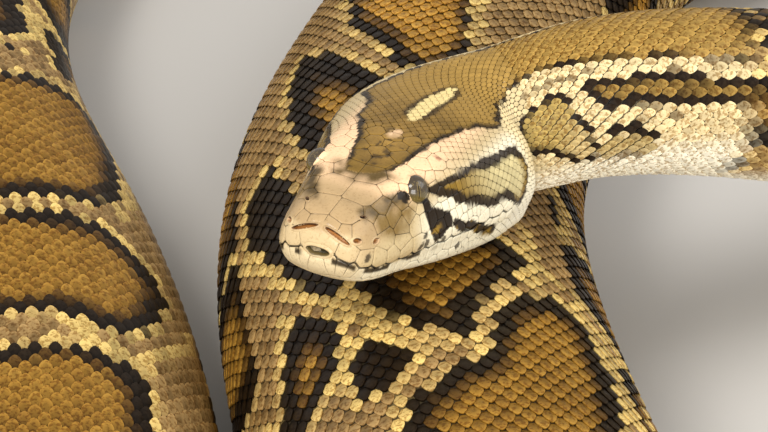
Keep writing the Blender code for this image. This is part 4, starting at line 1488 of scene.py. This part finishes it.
# %% The eyes' places, the rings round them, and the even rows behind
RING_SHIELDS = 11
RING_RADIUS = 0.0077
EYES_AT = [eye_centre(side) + SHIFT for side in (1, -1)]


def across_from(normal):
    """Two directions across a normal: one backwards, one sideways."""
    east = unit(-FORWARD - normal * (-FORWARD @ normal))
    return east, np.cross(normal, east)


for side, centre in zip((1, -1), EYES_AT):
    middle, normal, _ = nearest(centre + LEFT * side * 0.004 + UP * 0.001)
    plant(middle, 5.7, "eye")
    east, north = across_from(normal)
    for k in range(RING_SHIELDS):
        angle = 2 * math.pi * (k + 0.5) / RING_SHIELDS
        round_eye = (east * math.cos(angle) + north * math.sin(angle)) * RING_RADIUS
        plant(middle + round_eye, 2.1, "ring")


def plant_rows():
    """Growing points of the even scales, where the large shields leave room for them."""
    placed = np.array([s[0] for s in SEEDS])
    sizes = np.array([s[2] for s in SEEDS]) / 1000
    on_lip = np.isin([s[3] for s in SEEDS], ["upper_lip", "lower_lip"])
    crowd = np.where(on_lip, 0.86, 0.88)
    free = LATTICE[LATTICE[:, 0] < SEAM + 0.012]
    places = read_map(free[:, 0], free[:, 1])
    for point, own, s in zip(places, np.sqrt(free[:, 2] * free[:, 3]) / 2, free[:, 0]):
        gap = np.linalg.norm(placed - point, axis=1)
        if (gap < (sizes + own) * crowd).any():
            continue
        if abs(mouth_gap(point[None])[0]) < 0.0024 and s < HEAD_LEN * MOUTH_CORNER:
            continue
        plant(point, own * 1000, "row" if s < SEAM else "beyond")


plant_rows()
seed_at, seed_n = np.array([s[0] for s in SEEDS]), np.array([s[1] for s in SEEDS])
seed_r = np.array([s[2] for s in SEEDS]) / 1000
seed_kind = [s[3] for s in SEEDS]
seed_over = mouth_gap(seed_at)
print("shields on the head", sum(k not in ("eye", "beyond") for k in seed_kind))

# %% [markdown]
# Each shield is cut from the flat around its point by the half-way lines to its neighbours, its
# corners are rounded, and it is laid back on the curve of the head. Cut on the curved mesh, its
# sides would be ragged. A rim falls to the skin, so that each stands as a thin plate.


# %% Cutting and rounding a flat outline
def clip(polygon, direction, limit):
    """Part of a flat polygon on the near side of a line."""
    over = polygon @ direction - limit
    if (over <= 0).all():
        return polygon
    out = []
    n = len(polygon)
    for k in range(n):
        a, b, oa, ob = polygon[k], polygon[(k + 1) % n], over[k], over[(k + 1) % n]
        if oa <= 0:
            out.append(a)
        if oa * ob < 0:
            out.append(a + (b - a) * (oa / (oa - ob)))
    return np.array(out)
def rounded(polygon, radius, step):
    """Polygon with its corners cut round and, where a step is given, its sides divided."""
    out = []
    n = len(polygon)
    for k in range(n):
        before, here, after = polygon[k - 1], polygon[k], polygon[(k + 1) % n]
        la, lb = np.linalg.norm(before - here), np.linalg.norm(after - here)
        if min(la, lb) < 1e-6:
            continue
        start = here + (before - here) * min(radius / la, 0.42)
        end = here + (after - here) * min(radius / lb, 0.42)
        out.append(start)
        if step is not None:
            out.append(start * 0.25 + here * 0.5 + end * 0.25)
        out.append(end)
    out = np.array(out)
    if step is None:
        return out
    dense = []
    n = len(out)
    for k in range(n):
        a, b = out[k], out[(k + 1) % n]
        parts = max(1, int(np.ceil(np.linalg.norm(b - a) / step)))
        dense.extend(a + (b - a) * (m / parts) for m in range(parts))
    return np.array(dense)
print("corners of a rounded triangle", len(rounded(np.eye(3), 0.2, None)))

# %% The flat outline of one shield
SHIELD_GAP = 0.00011       # from a shield's side to the half-way line
MOUTH_GAP = 0.00046        # the same where the mouth runs between two shields
EYE_GAP = 0.00002
LARGE = 0.0019             # shields above this size get rounded sides and a smooth top
FINE_STEP = 0.0008         # length of their sides' parts


def shield_outline(k):
    """Flat outline of one shield and the two directions it is drawn in."""
    here, normal = seed_at[k], seed_n[k]
    east, north = across_from(normal)
    rel = seed_at - here
    gap = np.linalg.norm(rel, axis=1)
    reach = 2.3 * seed_r[k] + 0.0010
    close = np.flatnonzero((gap > 0) & (gap < reach + 2.2 * seed_r) & (seed_n @ normal > -0.3))
    close = close[np.argsort(gap[close])][:40]
    angle = np.linspace(0, 2 * math.pi, 25)[:-1]
    polygon = np.stack([np.cos(angle), np.sin(angle)], 1) * reach
    for other in close:
        d = gap[other]
        towards = rel[other] / d
        flat = np.array([towards @ east, towards @ north])
        tilt = np.linalg.norm(flat)
        if tilt < 0.3:
            continue
        limit = max(d / 2 + (seed_r[k] ** 2 - seed_r[other] ** 2) / (2 * d), 0.2 * d)
        beside_mouth = seed_kind[k] in ("upper_lip", "lower_lip", "large")
        space = MOUTH_GAP if beside_mouth and seed_over[k] * seed_over[other] < 0 else SHIELD_GAP
        space = EYE_GAP if seed_kind[other] == "eye" else space
        polygon = clip(polygon, flat / tilt, limit - space)
        if len(polygon) < 3:
            return None
    return polygon, east, north


print("corners of the first shield", len(shield_outline(0)[0]))


# %% Rings of points of one shield, still flat
def lay_shield(k):
    """Flat rings of one shield from the foot to the middle, their heights, and how many."""
    cut = shield_outline(k)
    if cut is None:
        return None
    polygon, east, north = cut
    large = seed_r[k] > LARGE
    outline = rounded(polygon, 0.00035 + 0.10 * seed_r[k], FINE_STEP if large else None)
    if len(outline) < 5:
        return None
    middle = outline.mean(0)
    shares, heights = [1.0, 1.0], [-1.0, -0.12]
    if large:
        size = np.linalg.norm(outline - middle, axis=1).mean()
        level = 1 - min(0.00030, 0.2 * size) / size
        shares, heights = [1.0, 1.0, level], [-1.0, -0.26, -0.02]
        count = max(3, int(round(size / FINE_STEP)))
        for step in range(1, count):
            shares.append(level * (1 - step / count))
            heights.append(0.0)
    flat = np.concatenate([middle + (outline - middle) * s for s in shares] + [middle[None]])
    high = np.concatenate([np.full(len(outline), h) for h in heights] + [[0.0]])
    return flat, high, len(outline), len(shares), east, north


CAST_FROM, CAST_LENGTH = 0.006, 0.016


def cast(here, normal, flat, east, north):
    """Flat points laid on the head along the normal: places, normals and faces met."""
    start = here + flat[:, :1] * east + flat[:, 1:] * north
    places, faces = [], []
    down = Vector(-normal)
    for point in start:
        hit = tree.ray_cast(Vector(point + normal * CAST_FROM), down, CAST_LENGTH)
        if hit[0] is None:
            hit = tree.find_nearest(Vector(point))
        places.append(hit[0])
        faces.append(hit[2])
    places, faces = np.array(places), np.array(faces)
    return places, outward_at(places, faces), faces


print("points of the first shield", len(lay_shield(0)[0]))


# %% How high a shield stands, and which markings it takes
def shield_rise(k, flat, high, ring, hollow, thick, own_s, rng):
    """Height of a shield's points over the surface: domed, tucked under, sunk at the hollows."""
    dome = 0.12 * thick * rng.uniform(0.4, 1.0)
    rise = high * thick + rng.uniform(-0.05, 0.03) * thick
    rise[-1] += dome
    if seed_kind[k] == "row":
        back = np.clip(flat[:, 0] / seed_r[k], -1, 1)
        tuck = float(ease(own_s, 0.06, 0.15))
        rise = rise - thick * 0.42 * tuck * (1 - back) * 0.5
    return np.where((ring > 0) & (hollow < 2.1), np.minimum(rise, -thick * 0.5), rise)


def clear_of_eyes(place, foot):
    """Points pushed out of the eyeballs, those of a foot a little less than the others."""
    push = np.where(foot, EYE_RADIUS - 0.0004, EYE_RADIUS + 0.00018)
    for centre in EYES_AT:
        away = place - centre
        far = np.linalg.norm(away, axis=1)
        close = far < push
        place[close] = centre + away[close] / far[close, None] * push[close, None]
    return place


def shield_marks(k, faces, places, own_s, own_a):
    """Where the markings are read: all over a large shield, near the middle of a small one."""
    s, a = surface_marks(faces, places)
    small, nape = float(ease(seed_r[k], 0.0034, 0.0024)), float(ease(own_s, 0.105, 0.135))
    keep = small * (0.20 + 0.60 * nape)
    return s * (1 - keep) + own_s * keep, a * (1 - keep) + own_a * keep


print("eyes at", [centre.round(4).tolist() for centre in EYES_AT])


# %% One shield, with all that its mesh needs
def one_shield(k, laid, base, rng):
    """Points, markings, unwrap, tops, sides and sharp points of a shield numbered from base."""
    flat, high, n, rings, east, north = laid
    places, normals, faces = cast(seed_at[k], seed_n[k], flat, east, north)
    back = float(ease(np.linalg.norm(seed_at[k] - ORIGIN), 0.09, 0.15))
    thick = HEAD_COAT + (COAT - HEAD_COAT) * back
    (own_s,), (own_a,) = surface_marks(faces[-1:], places[-1:])
    ring = np.concatenate([np.repeat(np.arange(rings), n), [rings]])
    hollow = from_hollows(places)
    rise = shield_rise(k, flat, high, ring, hollow, thick, own_s, rng)
    place = clear_of_eyes(places + normals * rise[:, None], ring == 0)
    s_mark, a_mark = shield_marks(k, faces, places, own_s, own_a)
    shade = np.where(ring == 0, 0.36, np.where(ring == 1, 0.90, 1.0))
    grain = np.full(len(place), rng.uniform(-1, 1))
    marks = np.column_stack([s_mark, a_mark, places, grain, shade])
    root = (own_s / 0.175 + 0.01, 0.5 + 0.49 * own_a / float(half_girth(own_s)))
    uv = np.array(root) + flat / max(np.abs(flat).max(), 1e-6) * 0.0013
    sides = np.concatenate([strip(r * n, (r + 1) * n, n, turned=True) for r in range(rings - 1)])
    k, last = np.arange(n), (rings - 1) * n
    tops = np.stack([last + k, last + (k + 1) % n, np.full(n, rings * n)], 1)
    keep_sides, keep_tops = ((hollow[f] > 1.5).any(1) for f in (sides, tops))
    return place, marks, uv, tops[keep_tops] + base, sides[keep_sides] + base, ring == 1


print("small shields", int((seed_r <= LARGE).sum()))

# %% [markdown]
# The cups of the hollows: seven rings round a short line, from under the shields over a soft lip
# to a dark floor. They belong to the same mesh as the shields, so that no seam shows.

# %% A pit, a nostril or the notch of the tongue
LININGS = {
    # floor, upper wall in painted shade, and lower wall in painted light
    # the notch's floor is partly its own olive, partly painted shade
    "mouth": (linear((52, 45, 24)), linear((22, 16, 12)), linear((104, 88, 52))),
    # the nostril's inside is painted shade
    "hole": (TONES["hole"], TONES["hole"] * 2, TONES["hole"] * 2),
    "pit": (TONES["pit"], TONES["shaded_wall"], TONES["lit_lower_wall"]),
}
CUP_POINTS = 32


def lay_cup(hollow):
    """A pit with a soft lip: its points, colours and faces."""
    a, b, wide, deep, lining = hollow
    inner, shaded_wall, lower = LININGS[lining]
    middle, normal, _ = nearest((a + b) / 2)
    east = unit((b - a) - normal * ((b - a) @ normal))
    north = np.cross(normal, east)
    half = np.linalg.norm(b - a) / 2
    turn = np.linspace(0, 2 * math.pi, CUP_POINTS + 1)[:-1]
    points, shades = [], []
    for offset, rise in CUP_RINGS:
        across = offset * wide
        flat = np.stack([np.cos(turn) * (half + across), np.sin(turn) * offset * wide], 1)
        places, normals, faces = cast(middle, normal, flat, east, north)
        points.append(places + normals * (rise * deep if rise <= -0.4 else rise * 0.001))
        s, arc = surface_marks(faces, places)
        shade = shield_colours(s, arc, places, np.zeros(len(s)))
        if offset < 1.2:
            # the upper wall is painted in shade and the lower wall painted lighter, as if lit from
            # above
            upper = ease(np.sin(turn) * np.sign(north @ UP), -0.3, 0.5)
            shade = shaded_wall * upper[:, None] + lower * (1 - upper)[:, None]
        # the floor: for the notch and the nostrils, painted shade of the opening
        if offset < 0.8:
            shade = np.tile(inner, (len(shade), 1))
        shades.append(shade)
    n, last = CUP_POINTS, (len(CUP_RINGS) - 1) * CUP_POINTS
    faces = [strip(r * n, (r + 1) * n, n, turned=True) for r in range(len(CUP_RINGS) - 1)]
    k = np.arange(n // 2 - 1)
    floor = np.stack([last + k, last + k + 1, last + n - 2 - k, last + n - 1 - k], 1)
    return np.concatenate(points), np.concatenate(shades), np.concatenate(faces + [floor])


print("faces of a cup", len(lay_cup(HOLLOWS[0])[2]))


# %% All shields of the head, or all its even scales
def head_shields(rows):
    """The even scales of the head (rows) or all its other shields, as one set of arrays."""
    rng = np.random.default_rng(3)
    points, marks, uv, tops, sides, sharp = [], [], [], [], [], []
    base = 0
    for k, kind in enumerate(seed_kind):
        if kind in ("eye", "beyond") or (kind == "row" and seed_r[k] <= LARGE) != rows:
            continue
        laid = lay_shield(k)
        if laid is not None:
            own = one_shield(k, laid, base, rng)
            for store, part in zip((points, marks, uv, tops, sides, sharp), own):
                store.append(part)
            base += len(own[0])
    marks = np.concatenate(marks)
    tone = shield_colours(marks[:, 0], marks[:, 1], marks[:, 2:5], marks[:, 5])
    colours = [tone * marks[:, 6:]]
    for number, hollow in enumerate([] if rows else HOLLOWS):
        place, shade, faces = lay_cup(hollow)
        points.append(place)
        colours.append(shade)
        root = (0.955 + 0.006 * (number % 6), 0.02 + 0.006 * (number // 6))
        spin = np.linspace(0, 2 * math.pi, len(place))
        uv.append(np.array(root) + np.stack([np.cos(spin), np.sin(spin)], 1) * 0.0012)
        sides.append(faces + base)
        sharp.append(np.zeros(len(place), bool))
        base += len(place)
    return [np.concatenate(v) for v in (points, colours, uv, tops, sides, sharp)]


# %% The coat of the head in two pieces: large shields with the hollows, and small even scales
for name, rows in (("head_shields", False), ("nape_scales", True)):
    points, colours, uv, tops, sides, sharp = head_shields(rows)
    head_coat = build_mesh(name, points, [tops, sides], colours, sharp)
    unwrap(head_coat, uv)
    head_coat.data.materials.append(shield_material)
    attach(head_coat, "root")
    print(name, len(tops) + 2 * len(sides), "triangles")

# %% [markdown]
# The eyes. A snake has no eyelids: a clear scale covers the eye, so it always looks wet. The iris
# is grey-brown with a net of gold, and the pupil is an upright slit. A texture could carry them;
# here the ball has close rings round its line of sight, and stored colours like all the rest. The
# wet scale is a clear coat in the material.


# %% Colours of an eye
PUPIL_HALF = 0.34          # millimetres
PUPIL_HIGH = 4.0
IRIS = {
    "ground": linear((70, 60, 46)), "net": linear((168, 146, 92)), "lower": linear((132, 116, 58)),
    "border": linear((62, 50, 36)), "slit_edge": linear((178, 150, 84)),
    "slit": linear((14, 10, 8)),
}


def eye_colours(u, v, side):
    """Colours of an eyeball, u and v in millimetres across and up from the pupil."""
    net = np.abs(noise(u, v, 61 + side, 0.55)) + 0.35 * np.abs(noise(u, v, 71, 0.25))
    colour = np.tile(IRIS["ground"], (len(u), 1))
    colour = paint(colour, IRIS["net"], ease(net, 0.20, 0.05) * 0.65)
    # the lower part of the eye turns olive: partly the iris's own colour, partly a painted
    # reflection
    colour = paint(colour, IRIS["lower"], ease(v, 0.5, -3.5) * 0.5)
    colour = paint(colour, IRIS["border"], ease(np.hypot(u, v), 4.4, 5.9) * 0.7)
    slit = np.abs(u) - PUPIL_HALF * np.sqrt(np.clip(1 - (v / PUPIL_HIGH) ** 2, 0, 1))
    slit = np.where(np.abs(v) > PUPIL_HIGH, 9.0, slit)
    colour = paint(colour, IRIS["slit_edge"], ease(slit, 0.30, 0.12) * 0.5)
    return paint(colour, IRIS["slit"], ease(slit, 0.06, -0.06))


print("pupil", eye_colours(np.zeros(1), np.zeros(1), 1).round(4).tolist())

# %% The two eyeballs
EYE_RINGS, EYE_AROUND = 56, 96
eye_material, surface, wire = new_material("wet_eye", 0.25, 0.8)
surface.inputs["Specular IOR Level"].default_value = 0.2
surface.inputs["Coat Roughness"].default_value = 0.09
wire.feed(surface.inputs["Base Color"], stored_markings_and_light(wire))


def make_eye(name, solid, side):
    """One eyeball with its iris and pupil."""
    gaze = unit(LEFT * side * 0.66 + FORWARD * 0.60 + UP * 0.34)
    right = unit(np.cross(UP, gaze))
    top = np.cross(gaze, right)
    tilt = np.linspace(0, 1, EYE_RINGS) ** 1.3 * math.pi
    turn = np.linspace(0, 2 * math.pi, EYE_AROUND, endpoint=False)
    x = np.sin(tilt)[1:-1, None] * np.cos(turn)
    y = np.sin(tilt)[1:-1, None] * np.sin(turn)
    z = np.cos(tilt)[1:-1, None] * np.ones(EYE_AROUND)
    ball = np.concatenate([[[0, 0, 1]], np.stack([x, y, z], -1).reshape(-1, 3), [[0, 0, -1]]])
    own_axes = ball[:, :1] * right + ball[:, 1:2] * top + ball[:, 2:] * gaze
    points = eye_centre(side) + SHIFT + EYE_RADIUS * own_axes
    colour = eye_colours(ball[:, 0] * EYE_RADIUS * 1000, ball[:, 1] * EYE_RADIUS * 1000, side)
    n, k = EYE_AROUND, np.arange(EYE_AROUND)
    last = 1 + (EYE_RINGS - 3) * n
    faces = [strip(1 + r * n, 1 + (r + 1) * n, n) for r in range(EYE_RINGS - 3)]
    faces.append(np.stack([np.zeros(n, int), 1 + k, 1 + (k + 1) % n], 1))
    faces.append(np.stack([last + k, np.full(n, len(ball) - 1), last + (k + 1) % n], 1))
    obj = build_mesh(name, points, faces, colour)
    obj.data.materials.append(eye_material)
    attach(obj, "root")
    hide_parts(solid)
    print(name, len(points), "points")


make_eye("eyeball_left", "eye_left", 1)
make_eye("eyeball_right", "eye_right", -1)

# %% [markdown]
# The belly. Under a snake one row of wide plates takes the weight, each overlapping the next like
# the slats of a blind, from the throat to the vent; under the tail they are in pairs. One plate
# repeated along a curve would not follow the girth, so each is read off the map, as scales are.

# %% The belly plates
SCUTE_STEP = 0.0135        # from plate to plate on the thick part of the trunk
LAST_SCUTE = 4.37
SCUTE_FOOT = -0.85
SCUTE_ROWS = (
    # along, in steps, and rise, in coat depths
    (-0.62, -1.0), (-0.30, -0.55), (0.30, -0.10), (0.62, 0.0), (0.62, SCUTE_FOOT))


def belly_scutes():
    """Wide plates under the body, as one piece of the coat."""
    points, colours, uv, faces = [], [], [], []
    base = number = 0
    s = FIRST_SCUTE
    across = np.linspace(-1, 1, 15)
    while s < LAST_SCUTE:
        size = float(girth_share(s))
        step = max(SCUTE_STEP * size ** 0.5, 0.004)
        thin = min(1.0, max(0.4, size ** 0.45))
        reach = float(half_girth(s)) * BELLY_SHARE + 0.75 * float(scale_spacing(s))
        plates = [across] if s < VENT else [across[:8] - 0.012, across[7:] + 0.012]
        for part, b in enumerate(plates):
            n = len(b)
            sag = 1 - np.abs(b) ** 4
            for along, rise in SCUTE_ROWS:
                place_s = np.full(n, s) + step * (along - 0.10 * (1 - sag))
                a = np.where(b >= 0, 1, -1) * (half_girth(place_s) - np.abs(b) * reach)
                points.append(read_map(place_s, a, COAT * thin * (rise * 0.9 - 0.55 * (1 - sag))))
                shade = np.tile(BELLY, (n, 1)) * (0.30 if rise == SCUTE_FOOT else 0.96)
                heart, _ = body_markings_and_light(place_s, a)
                colours.append(shade * sag[:, None] + heart * (1 - sag)[:, None])
                u = (s - 0.1) / 4.4 + along * 0.0011 * step / SCUTE_STEP
                v = 0.5 + 0.02 * (part - 0.5) * (len(plates) - 1) + b * 0.0013
                uv.append(np.stack([np.full(n, u), v], 1))
            for r in range(len(SCUTE_ROWS) - 1):
                faces.append(strip(base + r * n, base + (r + 1) * n, n, closed=False))
            base += n * len(SCUTE_ROWS)
        s += step
        number += 1
    obj = build_mesh(
        "belly_scutes", np.concatenate(points), [np.concatenate(faces)], np.concatenate(colours))
    unwrap(obj, np.concatenate(uv))
    obj.data.materials.append(scale_material)
    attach(obj, "root")
    print("belly", number, "scutes,", 2 * sum(len(f) for f in faces), "triangles")


belly_scutes()

# %% [markdown]
# The camera looks down a little over thirty degrees on the head, through a long lens, which keeps
# the coils behind nearly as large as the head. A short lens close by would swell the snout.

# %% Camera
CAMERA_AIM = (-0.010, -0.020, 0.150)
CAMERA_FAR = 1.60
CAMERA_RISE = math.radians(33.5)
LENS = 169.7
aim = Vector(CAMERA_AIM) + Vector(SHIFT)
away = Vector((0.0, -math.cos(CAMERA_RISE), math.sin(CAMERA_RISE)))
camera = bpy.data.objects.new("camera", bpy.data.cameras.new("camera"))
bpy.context.scene.collection.objects.link(camera)
camera.location = aim + away * CAMERA_FAR
camera.rotation_euler = away.to_track_quat("Z", "Y").to_euler()
camera.data.lens = LENS
camera.data.clip_start = 0.05
bpy.context.scene.camera = camera
print("camera", tuple(round(v, 3) for v in camera.location))

# %% [markdown]
# Floor and light. A plain pale floor takes the shadows. One strong lamp would leave black gaps
# under the coils, so there are three wide soft ones, and a little light from all round.

# %% Floor
FLOOR_HALF = 6
corners = ((-1, -1, 0), (1, -1, 0), (1, 1, 0), (-1, 1, 0))
floor = build_mesh("floor", FLOOR_HALF * np.array(corners, float), [np.array([[0, 1, 2, 3]])])
floor_material, surface, _ = new_material("plain_floor", 0.9)
surface.inputs["Base Color"].default_value = (0.62, 0.60, 0.57, 1.0)
floor.data.materials.append(floor_material)
floor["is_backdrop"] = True
print("floor", 2 * FLOOR_HALF, "metres wide")


# %% Lamps and the light from all round
def lamp(name, spot, size, power, colour):
    """A soft square light over the model, turned towards it."""
    light = bpy.data.lights.new(name, "AREA")
    light.shape = "SQUARE"
    light.size = size
    light.energy = power
    light.color = colour
    obj = bpy.data.objects.new(name, light)
    bpy.context.scene.collection.objects.link(obj)
    obj.location = Vector(spot) + Vector(SHIFT)
    toward = obj.location - aim
    obj.rotation_euler = toward.to_track_quat("Z", "Y").to_euler()
    obj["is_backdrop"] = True


lamp("sky_left", (-0.9, -0.9, 1.9), 0.7, 24.5, (1.0, 0.97, 0.92))
lamp("sky_right", (1.5, 0.1, 1.5), 1.6, 18.0, (0.95, 0.97, 1.0))
lamp("front_fill", (-0.25, -4.15, 1.30), 2.4, 142.0, (1.0, 0.98, 0.95))
world = bpy.data.worlds.new("studio")
world.use_nodes = True
world.node_tree.nodes["Background"].inputs[0].default_value = (1.0, 0.98, 0.95, 1.0)
world.node_tree.nodes["Background"].inputs[1].default_value = 0.55
bpy.context.scene.world = world
bpy.context.scene.view_settings.view_transform = "Standard"
print("lamps", len(bpy.data.lights))

# %% [markdown]
# Last, the size is measured again and kept.

# %% Size
low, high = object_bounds()
